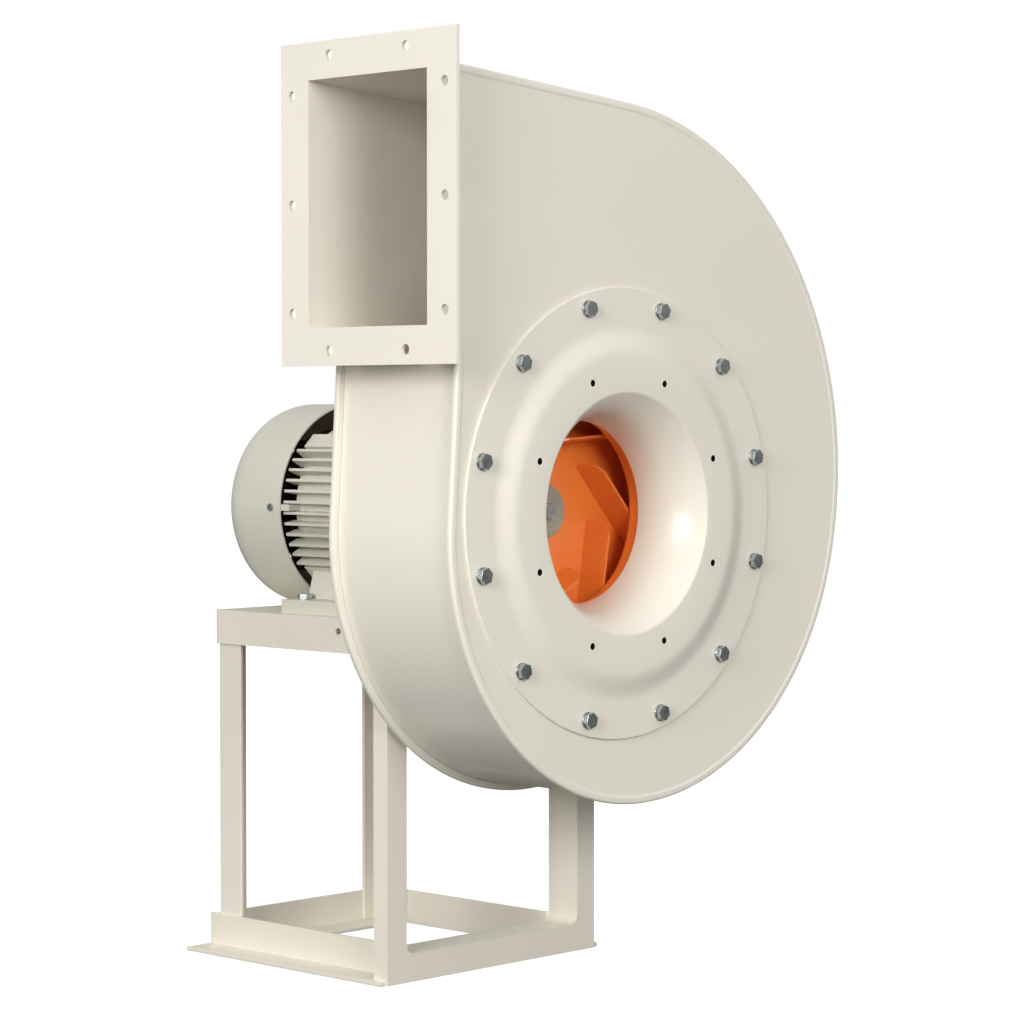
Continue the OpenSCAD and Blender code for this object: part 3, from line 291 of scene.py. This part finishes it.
def arc(centre, radius, start, end, steps):
    """Points of an arc in a plane, from start to end degrees."""
    return [on_arc(centre, radius, start + (end - start) * i / steps) for i in range(steps + 1)]


def add_object(name, data):
    obj = bpy.data.objects.new(name, data)
    bpy.context.scene.collection.objects.link(obj)
    return obj


def mesh_object(name, mesh):
    """Turns a mesh in the making into an object of the scene."""
    data = bpy.data.meshes.new(name)
    mesh.to_mesh(data)
    mesh.free()
    return add_object(name, data)


def piece(name, mesh, node, sharp):
    """A piece of the housing that stands for a CAD node; edges over sharp degrees stay sharp."""
    bmesh.ops.recalc_face_normals(mesh, faces=mesh.faces)
    obj = mesh_object(name, mesh)
    data = obj.data
    data.polygons.foreach_set("use_smooth", [True] * len(data.polygons))
    data.set_sharp_from_angle(angle=math.radians(sharp))
    data.materials.append(FINISHES[SLOTS[node]])
    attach(obj, "base")
    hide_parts(node)
    return obj


def bridge(mesh, first, second, closed=True):
    """Joins two rows of vertices with quads."""
    count = len(first)
    for i in range(count if closed else count - 1):
        j = (i + 1) % count
        mesh.faces.new([first[i], first[j], second[j], second[i]])


def loft(mesh, rings, close_ring, close_section):
    """Joins rings of points with quads. Returns the rings of vertices."""
    rows = [[mesh.verts.new(p) for p in ring] for ring in rings]
    pairs = list(zip(rows, rows[1:]))
    if close_section:
        pairs.append((rows[-1], rows[0]))
    for first, second in pairs:
        bridge(mesh, first, second, close_ring)
    return rows


def lathe(mesh, section, turns):
    """Turns a closed section of (radius, y) points round the shaft."""
    rings = [[on_shaft(radius, 360 * i / turns, y) for i in range(turns)] for radius, y in section]
    loft(mesh, rings, close_ring=True, close_section=True)


def pierce(obj, places, radius, front, back):
    """Cuts round holes along the shaft; places are (radius, angle) seen from the inlet."""
    mesh = bmesh.new()
    turned = [math.radians(360 * i / HOLE_STEPS) for i in range(HOLE_STEPS)]
    for far, angle in places:
        middle = on_shaft(far, angle, 0)
        ends = []
        for y in (front, back):
            rim = [middle + mm(radius * math.cos(a), y, radius * math.sin(a)) for a in turned]
            ends.append([mesh.verts.new(p) for p in rim])
        bridge(mesh, *ends)
        for ring in ends:
            mesh.faces.new(ring)
    bmesh.ops.recalc_face_normals(mesh, faces=mesh.faces)
    cutter = mesh_object("hole_cutter", mesh)
    cut = obj.modifiers.new("holes", "BOOLEAN")
    cut.object = cutter
    cut.solver = "EXACT"
    graph = bpy.context.evaluated_depsgraph_get()
    cut_mesh = bpy.data.meshes.new_from_object(obj.evaluated_get(graph))
    obj.modifiers.remove(cut)
    obj.data = cut_mesh
    cutter_data = cutter.data
    bpy.data.objects.remove(cutter)
    bpy.data.meshes.remove(cutter_data)


def cap(mesh, *loops):
    """Fills the flat face bounded by an outer loop and any holes."""
    edges = []
    for loop in loops:
        for a, b in zip(loop, loop[1:] + loop[:1]):
            edges.append(mesh.edges.get((a, b)) or mesh.edges.new((a, b)))
    bmesh.ops.triangle_fill(mesh, use_beauty=True, use_dissolve=False, edges=edges)


def outline(inset):
    """Open outline of the scroll, drawn in by inset and seen from the inlet.

    It runs from the outlet's top edge clockwise to its lower edge, with the shaft at zero.
    """
    top_turn = 90 - TOP_SLOPE
    start = on_arc(TOP[0], TOP[1] - inset, top_turn)
    rise = (start[0] - DUCT_X) * math.tan(math.radians(TOP_SLOPE))
    points = []
    for i in range(WALL_STEPS):
        share = i / WALL_STEPS
        points.append((DUCT_X + (start[0] - DUCT_X) * share, start[1] + rise * (1 - share)))
    points += arc(TOP[0], TOP[1] - inset, top_turn, JOINT, TOP_STEPS)[:-1]
    points += arc(RIGHT[0], RIGHT[1] - inset, JOINT, -90, RIGHT_STEPS)[:-1]
    points += arc(LOW[0], LOW[1] - inset, -90, -180 - LEFT_SLOPE, LOW_STEPS)
    x, z = points[-1]
    corner_z = DUCT_LOW_Z + inset
    corner_x = x + (corner_z - z) * math.tan(math.radians(LEFT_SLOPE))
    for i in range(1, WALL_STEPS):
        share = i / WALL_STEPS
        points.append((x + (corner_x - x) * share, z + (corner_z - z) * share))
    return points + [(corner_x, corner_z), (DUCT_X, corner_z)]


def scroll_ring(inset, y):
    return [mm(x, y, SHAFT_Z + z) for x, z in outline(inset)]


def cover_front():
    """Front of the cover: flat border, pressed step, raised ring, lip, start of the curve."""
    step_from, step_to = STEP_R
    step = []
    for t in range(STEP_STEPS + 1):
        share = t / STEP_STEPS
        drop = 0.5 - 0.5 * math.cos(math.pi * share)
        y = COVER_Y + (RING_Y - COVER_Y) * drop
        step.append((step_from + (step_to - step_from) * share, y))
    lip = [on_arc(LIP, LIP_ROLL, 270 - a) for a in LIP_ANGLES]
    curve = [on_arc(BELL, BELL_AIR, 180 + a) for a in BELL_COVER_ANGLES]
    return [(COVER_R, COVER_Y + COVER_CHAMFER)] + [(r, COVER_Y) for r in BORDER_R] + step + lip + curve


def cover_inside(front):
    """Inner face of the cover, a sheet's thickness behind its front."""
    inner = []
    for r, y in reversed(front[1:]):
        if r > FLAT_END_R:
            inner.append((r, y + COVER_SHEET))
        elif r > LIP_END_R:
            inner.append((r + LIP_THICKENING, y + COVER_SHEET))
        else:
            away = Vector((r - BELL[0], y - BELL[1])).normalized()
            inner.append((r - away.x * COVER_SHEET, y - away.y * COVER_SHEET))
    return [point for point in inner if point[0] > INNER_END_R]


# Finishes


def add_node(tree, kind, inputs=None, **settings):
    """Adds a node with its settings; inputs holds a value, or the socket that feeds it."""
    new = tree.nodes.new(kind)
    for name, value in settings.items():
        setattr(new, name, value)
    for key, value in (inputs or {}).items():
        if isinstance(value, bpy.types.NodeSocket):
            tree.links.new(value, new.inputs[key])
        else:
            new.inputs[key].default_value = value
    return new


def new_finish(name, **sockets):
    """An empty finish: its tree, its shader and the coordinates that carry its patterns."""
    material = bpy.data.materials.new(name)
    material.use_nodes = True
    tree = material.node_tree
    shader = tree.nodes["Principled BSDF"]
    for key, value in sockets.items():
        shader.inputs[key.replace("_", " ")].default_value = value
    place = add_node(tree, "ShaderNodeTexCoord").outputs["Object"]
    return material, tree, shader, place


def grain(size_mm):
    """Scale at which a noise has a grain of a real size."""
    return 1 / (size_mm * MM)


def bands(apart_mm):
    """Scale at which a wave has bands a real distance apart; at 1 it is 2 pi / 20 metres."""
    return 2 * math.pi / 20 / (apart_mm * MM)


def shade(base, share):
    return tuple(c * share for c in base)


def lay_on(
    tree,
    shader,
    tone,
    colours,
    height,
    strength,
    depth_mm,
    gloss=None,
    rough=None,
    tone_range=None,
):
    """Lays patterns on a finish: tone blends its two colours, height gives it relief.

    Gloss, if any, spreads its roughness over the two values of rough. Where tone_range is given,
    the blend goes from the first colour to the second within that part of the tone.
    """
    if tone_range:
        low, high = tone_range
        tone = add_node(
            tree,
            "ShaderNodeMapRange",
            {"Value": tone, "From Min": low, "From Max": high, "To Min": 0, "To Max": 1},
            clamp=True,
        ).outputs["Result"]
    blend = add_node(
        tree,
        "ShaderNodeMix",
        {MIX_FACTOR: tone, MIX_FIRST: (*colours[0], 1), MIX_SECOND: (*colours[1], 1)},
        data_type="RGBA",
    )
    tree.links.new(blend.outputs[MIX_COLOUR], shader.inputs["Base Color"])
    if gloss is not None:
        low, high = NOISE_RANGE
        level = add_node(
            tree,
            "ShaderNodeMapRange",
            {
                "Value": gloss,
                "From Min": low,
                "From Max": high,
                "To Min": rough[0],
                "To Max": rough[1],
            },
            clamp=True,
        )
        tree.links.new(level.outputs["Result"], shader.inputs["Roughness"])
    relief = add_node(
        tree,
        "ShaderNodeBump",
        {"Height": height, "Strength": strength, "Distance": depth_mm * MM},
    )
    tree.links.new(relief.outputs["Normal"], shader.inputs["Normal"])


def sprayed_enamel(name, base, rough, coat):
    """Sprayed and baked enamel on sheet steel: flat colour, a faint orange peel and soft shine."""
    material, tree, shader, place = new_finish(
        name, Coat_Weight=coat, Coat_Roughness=0.12, Coat_IOR=1.5, IOR=1.5
    )
    cloud = add_node(
        tree, "ShaderNodeTexNoise", {"Vector": place, "Scale": grain(240), "Detail": 3}
    )
    smear = add_node(tree, "ShaderNodeTexNoise", {"Vector": place, "Scale": grain(45), "Detail": 4})
    # Orange peel has cells of about 2 mm
    cells = add_node(
        tree, "ShaderNodeTexNoise", {"Vector": place, "Scale": grain(2.2), "Detail": 1.5}
    )
    lay_on(
        tree,
        shader,
        cloud.outputs["Fac"],
        (shade(base, 0.965), base),
        cells.outputs["Fac"],
        strength=0.5,
        depth_mm=0.05,
        gloss=smear.outputs["Fac"],
        rough=(rough - 0.04, rough + 0.05),
        tone_range=NOISE_RANGE,
    )
    return material


def cast_enamel(name, base, rough):
    """Enamel over die-cast metal: the cast skin's fine grit shows and takes the shine down."""
    material, tree, shader, place = new_finish(name, Coat_Weight=0.12, Coat_Roughness=0.3, IOR=1.5)
    cloud = add_node(
        tree, "ShaderNodeTexNoise", {"Vector": place, "Scale": grain(90), "Detail": 3}
    ).outputs["Fac"]
    # Grit of about 1 mm, drawn slightly coarser than real so that it shows
    grit = add_node(
        tree,
        "ShaderNodeTexNoise",
        {"Vector": place, "Scale": grain(1.4), "Detail": 3, "Roughness": 0.6},
    )
    lay_on(
        tree,
        shader,
        cloud,
        (shade(base, 0.93), base),
        grit.outputs["Fac"],
        strength=0.35,
        depth_mm=0.15,
        gloss=cloud,
        rough=(rough, rough + 0.1),
        tone_range=NOISE_RANGE,
    )
    return material


def zinc_plate(name, base):
    """Bright zinc plate: a cool metal with faint clouds from the bath."""
    material, tree, shader, place = new_finish(name, Metallic=1.0)
    cloud = add_node(
        tree, "ShaderNodeTexNoise", {"Vector": place, "Scale": grain(5), "Detail": 3}
    ).outputs["Fac"]
    # The plate's own pits are far finer and are drawn 0.8 mm wide so that they show
    pits = add_node(tree, "ShaderNodeTexNoise", {"Vector": place, "Scale": grain(0.8)})
    cool = (base[0] * 0.8, base[1] * 0.86, base[2] * 0.88)
    lay_on(
        tree,
        shader,
        cloud,
        (cool, base),
        pits.outputs["Fac"],
        strength=0.15,
        depth_mm=0.05,
        gloss=cloud,
        rough=(0.22, 0.38),
        tone_range=NOISE_RANGE,
    )
    return material


def turned_metal(name, base, rough=0.32):
    """Bare turned metal: rings from the tool run round the shaft line under faint clouds."""
    material, tree, shader, place = new_finish(name, Metallic=0.7)
    cloud = add_node(
        tree, "ShaderNodeTexNoise", {"Vector": place, "Scale": grain(12), "Detail": 4}
    ).outputs["Fac"]
    # Tool marks lie a few tenths of a millimetre apart, drawn about 5 mm apart so that they show
    rings = add_node(
        tree,
        "ShaderNodeTexWave",
        {"Vector": place, "Scale": bands(5.0265), "Distortion": 0.4, "Detail": 1.0},
        wave_type="BANDS",
        bands_direction="Y",
    )
    lay_on(
        tree,
        shader,
        cloud,
        (shade(base, 0.82), base),
        rings.outputs["Fac"],
        strength=0.2,
        depth_mm=0.04,
        gloss=cloud,
        rough=(rough - 0.06, rough + 0.1),
        tone_range=NOISE_RANGE,
    )
    return material


def insert_with_painted_bore_shade(name, base):
    """Insert whose flange was sprayed with the housing, round a bore whose wall is painted dark as
    painted shade inside the hole.
    """
    material, tree, shader, place = new_finish(name, Roughness=0.3, Coat_Weight=0.3, IOR=1.5)
    # The flange faces along the shaft, the wall of the bore across it; faces across the shaft get
    # painted shade
    normal = add_node(tree, "ShaderNodeNewGeometry").outputs["Normal"]
    along = add_node(tree, "ShaderNodeSeparateXYZ", {"Vector": normal}).outputs["Y"]
    facing = add_node(tree, "ShaderNodeMath", {0: along}, operation="ABSOLUTE")
    # Fine pits, drawn 0.8 mm wide so that they show
    pits = add_node(tree, "ShaderNodeTexNoise", {"Vector": place, "Scale": grain(0.8)})
    lay_on(
        tree,
        shader,
        facing.outputs[0],
        # Dark brown on the bore's wall is painted shade, while the flange keeps the housing colour
        (linear("26231D"), base),
        pits.outputs["Fac"],
        strength=0.15,
        depth_mm=0.05,
        tone_range=(0.2, 0.5),
    )
    return material


def moulded_plastic(name, base, rough):
    """Moulded nylon, thermoset or rubber: matt, with the fine texture of the mould."""
    material, tree, shader, place = new_finish(name, IOR=1.5)
    cloud = add_node(tree, "ShaderNodeTexNoise", {"Vector": place, "Scale": grain(20)}).outputs["Fac"]
    # The mould's texture, drawn 0.7 mm wide so that it shows
    texture = add_node(tree, "ShaderNodeTexNoise", {"Vector": place, "Scale": grain(0.7)})
    lay_on(
        tree,
        shader,
        cloud,
        (shade(base, 0.85), base),
        texture.outputs["Fac"],
        strength=0.2,
        depth_mm=0.05,
        gloss=cloud,
        rough=(rough - 0.05, rough + 0.08),
    )
    return material


def wound_copper(name):
    """Enamelled copper wire under varnish: warm strands run round the coil ends."""
    material, tree, shader, place = new_finish(name, Metallic=0.6, Coat_Weight=0.5)
    # Wires of about 1 mm, drawn about 7.5 mm apart so that they show
    strands = add_node(
        tree,
        "ShaderNodeTexWave",
        {"Vector": place, "Scale": bands(7.5398), "Distortion": 3.0, "Detail": 2.0},
        wave_type="BANDS",
        bands_direction="Y",
    ).outputs["Fac"]
    lay_on(
        tree,
        shader,
        strands,
        (linear("5C2E12"), linear("A9632F")),
        strands,
        strength=0.5,
        depth_mm=0.3,
        gloss=strands,
        rough=(0.3, 0.45),
    )
    return material


def sheet_stack(name):
    """Stacked electrical sheet: dark and light leaves across the shaft."""
    material, tree, shader, place = new_finish(name, Metallic=1.0)
    # Leaves of half a millimetre, drawn about 12.5 mm apart so that they show
    leaves = add_node(
        tree,
        "ShaderNodeTexWave",
        {"Vector": place, "Scale": bands(12.5664)},
        wave_type="BANDS",
        bands_direction="Y",
    ).outputs["Fac"]
    lay_on(
        tree,
        shader,
        leaves,
        (linear("55585A"), linear("7C8083")),
        leaves,
        strength=0.4,
        depth_mm=0.2,
        gloss=leaves,
        rough=(0.5, 0.6),
    )
    return material


def pressed_felt(name):
    """Pressed wool felt: soft, dull fibres."""
    material, tree, shader, place = new_finish(name, Sheen_Weight=0.3, Roughness=0.9)
    # Wool is some hundredths of a millimetre thick, drawn 1 mm thick so that it shows
    fibres = add_node(
        tree,
        "ShaderNodeTexNoise",
        {"Vector": place, "Scale": grain(1.0), "Detail": 5, "Roughness": 0.7},
    ).outputs["Fac"]
    lay_on(
        tree,
        shader,
        fibres,
        (linear("6F695F"), linear("A39B8E")),
        fibres,
        strength=0.6,
        depth_mm=0.4,
    )
    return material


def make_finishes():
    colours = bpy.context.scene.blower_colours
    housing = tuple(colours.housing)
    FINISHES.update(
        housing_paint=sprayed_enamel("sprayed_cream_enamel", housing, rough=0.34, coat=0.25),
        stand_paint=sprayed_enamel(
            "sprayed_stand_enamel", tuple(colours.stand), rough=0.4, coat=0.15
        ),
        motor_paint=cast_enamel("cast_motor_enamel", tuple(colours.motor), rough=0.42),
        impeller_paint=sprayed_enamel(
            "sprayed_orange_enamel", tuple(colours.impeller), rough=0.32, coat=0.3
        ),
        zinc_steel=zinc_plate("bright_zinc_plate", tuple(colours.zinc)),
        machined_steel=turned_metal("turned_bare_steel", tuple(colours.steel)),
        insert=insert_with_painted_bore_shade("sprayed_insert_painted_bore_shade", housing),
        bearing_steel=turned_metal("ground_bearing_steel", linear("C4C9CC"), rough=0.16),
        lamination_steel=sheet_stack("stacked_electrical_sheet"),
        copper=wound_copper("varnished_copper_wire"),
        terminal_brass=turned_metal("turned_brass", linear("C9A552"), rough=0.3),
        black_rubber=moulded_plastic("moulded_black_rubber", linear("1C1C1C"), rough=0.7),
        grey_felt=pressed_felt("pressed_grey_felt"),
        board_plastic=moulded_plastic("moulded_brown_thermoset", linear("5A4636"), rough=0.4),
        black_plastic=moulded_plastic("moulded_black_nylon", linear("242426"), rough=0.45),
    )


def dress(names, edge, segments=2, finish=None):
    """Gives CAD nodes their finish and rounds their edges."""
    for name in names:
        obj = NODES[name]
        data = obj.data
        data.materials.clear()
        data.materials.append(FINISHES[finish or SLOTS[name]])
        data.polygons.foreach_set("material_index", [0] * len(data.polygons))
        data.polygons.foreach_set("use_smooth", [True] * len(data.polygons))
        if data.attributes.get("custom_normal"):
            data.attributes.remove(data.attributes["custom_normal"])
        weld = obj.modifiers.new("joined_corners", "WELD")
        weld.merge_threshold = SAME_CORNER
        flat = obj.modifiers.new("whole_faces", "DECIMATE")
        flat.decimate_type = "DISSOLVE"
        flat.angle_limit = math.radians(FLAT_ANGLE)
        if edge > 0:
            bevel = obj.modifiers.new("rounded_edges", "BEVEL")
            bevel.width = edge
            bevel.segments = segments
            bevel.limit_method = "ANGLE"
            bevel.angle_limit = math.radians(EDGE_ANGLE)
            bevel.use_clamp_overlap = True
            bevel.miter_outer = "MITER_ARC"
        normals = obj.modifiers.new("even_shading", "WEIGHTED_NORMAL")
        normals.keep_sharp = False
        normals.weight = SHADING_WEIGHT


class BLOWER_OT_housing_plates(bpy.types.Operator):
    """Side plates with their folded, rounded rims"""

    bl_idname = "blower.housing_plates"
    bl_label = "Side plates"

    def execute(self, context):
        turns = context.scene.blower_stage.turns
        for name, (face_y, out, hole_r) in SIDE_PLATES.items():
            mesh = bmesh.new()
            rings = [scroll_ring(inset, face_y + out * height) for inset, height in RIM_SECTION]
            rows = loft(mesh, rings, close_ring=False, close_section=False)
            holes = []
            for row, y in ((rows[0], face_y), (rows[-1], face_y - out * SHEET)):
                edge = [on_shaft(hole_r, 360 * i / turns, y) for i in range(turns)]
                holes.append([mesh.verts.new(p) for p in edge])
                cap(mesh, row, holes[-1])
            bridge(mesh, *holes)
            for end in (0, -1):
                mesh.faces.new([row[end] for row in rows])
            mesh.faces.new([rows[0][0], rows[0][-1], rows[-1][-1], rows[-1][0]])
            bmesh.ops.remove_doubles(mesh, verts=mesh.verts, dist=1e-6)
            piece(name + "_sheet", mesh, name, sharp=40)
        return {"FINISHED"}


class BLOWER_OT_scroll(bpy.types.Operator):
    """Scroll band, cut-off plate and outlet flange"""

    bl_idname = "blower.scroll"
    bl_label = "Scroll band and outlet"

    def execute(self, context):
        sizes = context.scene.blower_sizes
        mesh = bmesh.new()
        front, back = FRONT_Y + SHEET, BACK_Y - SHEET
        outside, inside = BAND_INSET, BAND_INSET + SHEET
        corners = ((outside, front), (outside, back), (inside, back), (inside, front))
        rings = [scroll_ring(inset, y) for inset, y in corners]
        rows = loft(mesh, rings, close_ring=False, close_section=True)
        for end in (0, -1):
            mesh.faces.new([row[end] for row in rows])
        piece("scroll_band_sheet", mesh, "scroll_band", sharp=30)
        dress(["cutoff_plate"], sizes.sheet_edge)
        dress(["outlet_flange"], sizes.flange_edge, segments=3)
        return {"FINISHED"}


class BLOWER_OT_inlet(bpy.types.Operator):
    """Pressed inlet cover and spun inlet nozzle"""

    bl_idname = "blower.inlet"
    bl_label = "Inlet cover and nozzle"

    def execute(self, context):
        turns = context.scene.blower_stage.turns * 2
        front = cover_front()
        mesh = bmesh.new()
        lathe(mesh, front + cover_inside(front) + [(COVER_R, FRONT_Y - COVER_GAP)], turns)
        cover = piece("inlet_cover_pressing", mesh, "inlet_cover", sharp=40)
        angles = [INSERT_START + 360 / INSERT_COUNT * i for i in range(INSERT_COUNT)]
        pierce(
            cover,
            [(INSERT_CIRCLE_R, angle) for angle in angles],
            INSERT_HOLE_R,
            RING_Y - CUT_MARGIN[0],
            RING_Y + COVER_SHEET + CUT_MARGIN[1],
        )
        throat = arc(BELL, BELL_AIR, 180 + BELL_END, 180, BELL_END)
        outside = arc(BELL, BELL_BACK, 180, 180 + BELL_END, BELL_END)
        mesh = bmesh.new()
        lathe(mesh, throat + outside, turns)
        piece("inlet_nozzle_spinning", mesh, "inlet_nozzle", sharp=40)
        return {"FINISHED"}


class BLOWER_OT_fasteners(bpy.types.Operator):
    """Bolts, nuts, washers, screws and threaded inserts"""

    bl_idname = "blower.fasteners"
    bl_label = "Fasteners"

    def execute(self, context):
        sizes = context.scene.blower_sizes
        dress([n for n, slot in SLOTS.items() if slot == "zinc_steel"], sizes.head_chamfer)
        # The inserts' finish paints shade into their bores
        dress(["inlet_rivet_nuts"], sizes.sheet_edge, finish="insert")
        return {"FINISHED"}


class BLOWER_OT_stand(bpy.types.Operator):
    """Stand of folded steel sections, motor bed, carrying disc and seal plate"""

    bl_idname = "blower.stand"
    bl_label = "Stand"

    def execute(self, context):
        sizes = context.scene.blower_sizes
        names = [n for n, slot in SLOTS.items() if slot == "stand_paint"]
        dress(names, sizes.fold_edge, segments=3)
        dress(["housing_disc", "shaft_seal_plate"], sizes.sheet_edge)
        return {"FINISHED"}


class BLOWER_OT_motor(bpy.types.Operator):
    """Motor: finned frame, shields, cowl, terminal box and what is inside"""

    bl_idname = "blower.motor"
    bl_label = "Motor"

    def execute(self, context):
        sizes = context.scene.blower_sizes
        dress(["motor_frame", "drive_end_shield", "rear_end_shield"], sizes.cast_edge)
        dress(["fan_cowl"], sizes.sheet_edge)
        dress(["terminal_box", "terminal_lid"], sizes.box_edge, segments=3)
        dress([n for n, slot in SLOTS.items() if slot in INNER_SLOTS], sizes.sheet_edge)
        dress(["lifting_eye", "motor_shaft", "hub_key"], sizes.sheet_edge)
        return {"FINISHED"}


class BLOWER_OT_impeller(bpy.types.Operator):
    """Impeller with its hub, washer and bolt"""

    bl_idname = "blower.impeller"
    bl_label = "Impeller"

    def execute(self, context):
        sizes = context.scene.blower_sizes
        plates = ["impeller_back_plate", "impeller_shroud", "impeller_blades", "impeller_hub"]
        dress(plates, sizes.sheet_edge)
        dress(["hub_washer"], sizes.washer_chamfer)
        dress(["hub_bolt"], sizes.hub_bolt_chamfer, segments=3, finish="zinc_steel")
        return {"FINISHED"}


class BLOWER_OT_stage(bpy.types.Operator):
    """Floor, white surround, studio lamps and camera"""

    bl_idname = "blower.stage"
    bl_label = "Stage"

    def execute(self, context):
        scene = context.scene
        scene.view_settings.view_transform = "Standard"
        self.add_camera(scene)
        self.add_lamps(scene)
        self.add_surround(scene)
        self.add_floor(scene)
        return {"FINISHED"}

    def add_camera(self, scene):
        data = bpy.data.cameras.new("studio_camera")
        data.lens = scene.blower_stage.lens
        data.sensor_width = CAMERA_FRAME_MM
        data.clip_end = CAMERA_REACH
        camera = add_object("studio_camera", data)
        camera.location = CAMERA_PLACE
        camera.rotation_euler = Vector(CAMERA_AIM).to_track_quat("-Z", "Y").to_euler()
        scene.camera = camera

    def add_lamps(self, scene):
        stage = scene.blower_stage
        for name, power, (place, target, width) in (
            ("key_lamp", stage.key, KEY_LAMP),
            ("fill_lamp", stage.fill, FILL_LAMP),
        ):
            lamp = bpy.data.lights.new(name, "AREA")
            lamp.energy = power
            lamp.shape = "DISK"
            lamp.size = width
            obj = add_object(name, lamp)
            aim = Vector(target) - Vector(place)
            obj.location = place
            obj.rotation_euler = aim.to_track_quat("-Z", "Y").to_euler()

    def add_surround(self, scene):
        """White to the camera; to the blower bright overhead and fading towards the ground."""
        sky = scene.blower_stage.sky
        world = bpy.data.worlds.new("white_studio")
        world.use_nodes = True
        tree = world.node_tree
        tree.nodes.clear()
        path = add_node(tree, "ShaderNodeLightPath")
        seen = add_node(
            tree,
            "ShaderNodeMath",
            {0: path.outputs["Is Camera Ray"], 1: path.outputs["Is Transmission Ray"]},
            operation="MAXIMUM",
        )
        direction = add_node(tree, "ShaderNodeTexCoord").outputs["Generated"]
        upward = add_node(tree, "ShaderNodeSeparateXYZ", {"Vector": direction}).outputs["Z"]
        level = add_node(
            tree,
            "ShaderNodeMapRange",
            {
                "Value": upward,
                "From Min": SURROUND_LOW[0],
                "From Max": SURROUND_HIGH[0],
                "To Min": sky * SURROUND_LOW[1],
                "To Max": sky * SURROUND_HIGH[1],
            },
            clamp=True,
        )
        room = add_node(
            tree,
            "ShaderNodeBackground",
            {"Color": SURROUND_TINT, "Strength": level.outputs["Result"]},
        )
        white = add_node(tree, "ShaderNodeBackground", {"Color": WHITE, "Strength": 1.0})
        mixed = add_node(
            tree,
            "ShaderNodeMixShader",
            {0: seen.outputs[0], 1: room.outputs[0], 2: white.outputs[0]},
        )
        add_node(tree, "ShaderNodeOutputWorld", {"Surface": mixed.outputs[0]})
        scene.world = world

    def add_floor(self, scene):
        """Pale paint that keeps the blower's shadow and throws little light back at it."""
        stage = scene.blower_stage
        mesh = bmesh.new()
        bmesh.ops.create_grid(mesh, x_segments=FLOOR_CELLS, y_segments=FLOOR_CELLS, size=FLOOR_HALF)
        floor = mesh_object("studio_floor", mesh)
        floor.location = (0, 0, -FLOOR_DROP)
        material = bpy.data.materials.new("pale_floor_paint")
        material.use_nodes = True
        tree = material.node_tree
        tree.nodes.clear()
        path = add_node(tree, "ShaderNodeLightPath")
        paint = add_node(tree, "ShaderNodeBsdfDiffuse", {"Color": FLOOR_PAINT})
        dull = add_node(tree, "ShaderNodeBsdfDiffuse", {"Color": (*[stage.bounce] * 3, 1)})
        glow = add_node(
            tree, "ShaderNodeEmission", {"Color": WHITE, "Strength": stage.floor_glow}
        )
        lit = add_node(tree, "ShaderNodeAddShader", {0: paint.outputs[0], 1: glow.outputs[0]})
        mixed = add_node(
            tree,
            "ShaderNodeMixShader",
            {0: path.outputs["Is Camera Ray"], 1: dull.outputs[0], 2: lit.outputs[0]},
        )
        add_node(tree, "ShaderNodeOutputMaterial", {"Surface": mixed.outputs[0]})
        floor.data.materials.append(material)


class BLOWER_PT_panel(bpy.types.Panel):
    """Lists the blower's pieces"""

    bl_idname = "BLOWER_PT_panel"
    bl_label = "Blower"
    bl_space_type = "VIEW_3D"
    bl_region_type = "UI"
    bl_category = "Blower"

    def draw(self, context):
        layout = self.layout
        scene = context.scene
        for group in (scene.blower_sizes, scene.blower_colours, scene.blower_stage):
            box = layout.box()
            for key in group.__annotations__:
                box.prop(group, key)
        for operator in OPERATORS:
            layout.operator(operator.bl_idname)


GROUPS = (BlowerSizes, BlowerColours, BlowerStage)
OPERATORS = (
    BLOWER_OT_housing_plates,
    BLOWER_OT_scroll,
    BLOWER_OT_inlet,
    BLOWER_OT_fasteners,
    BLOWER_OT_stand,
    BLOWER_OT_motor,
    BLOWER_OT_impeller,
    BLOWER_OT_stage,
)


def register():
    for item in GROUPS + OPERATORS + (BLOWER_PT_panel,):
        bpy.utils.register_class(item)
    bpy.types.Scene.blower_sizes = PointerProperty(type=BlowerSizes)
    bpy.types.Scene.blower_colours = PointerProperty(type=BlowerColours)
    bpy.types.Scene.blower_stage = PointerProperty(type=BlowerStage)


def unregister():
    del bpy.types.Scene.blower_stage
    del bpy.types.Scene.blower_colours
    del bpy.types.Scene.blower_sizes
    for item in reversed(GROUPS + OPERATORS + (BLOWER_PT_panel,)):
        bpy.utils.unregister_class(item)


def main():
    register()
    make_finishes()
    bpy.ops.blower.housing_plates()
    bpy.ops.blower.scroll()
    bpy.ops.blower.inlet()
    bpy.ops.blower.fasteners()
    bpy.ops.blower.stand()
    bpy.ops.blower.motor()
    bpy.ops.blower.impeller()
    bpy.ops.blower.stage()
    bpy.context.view_layer.update()


if __name__ == "__main__":
    main()
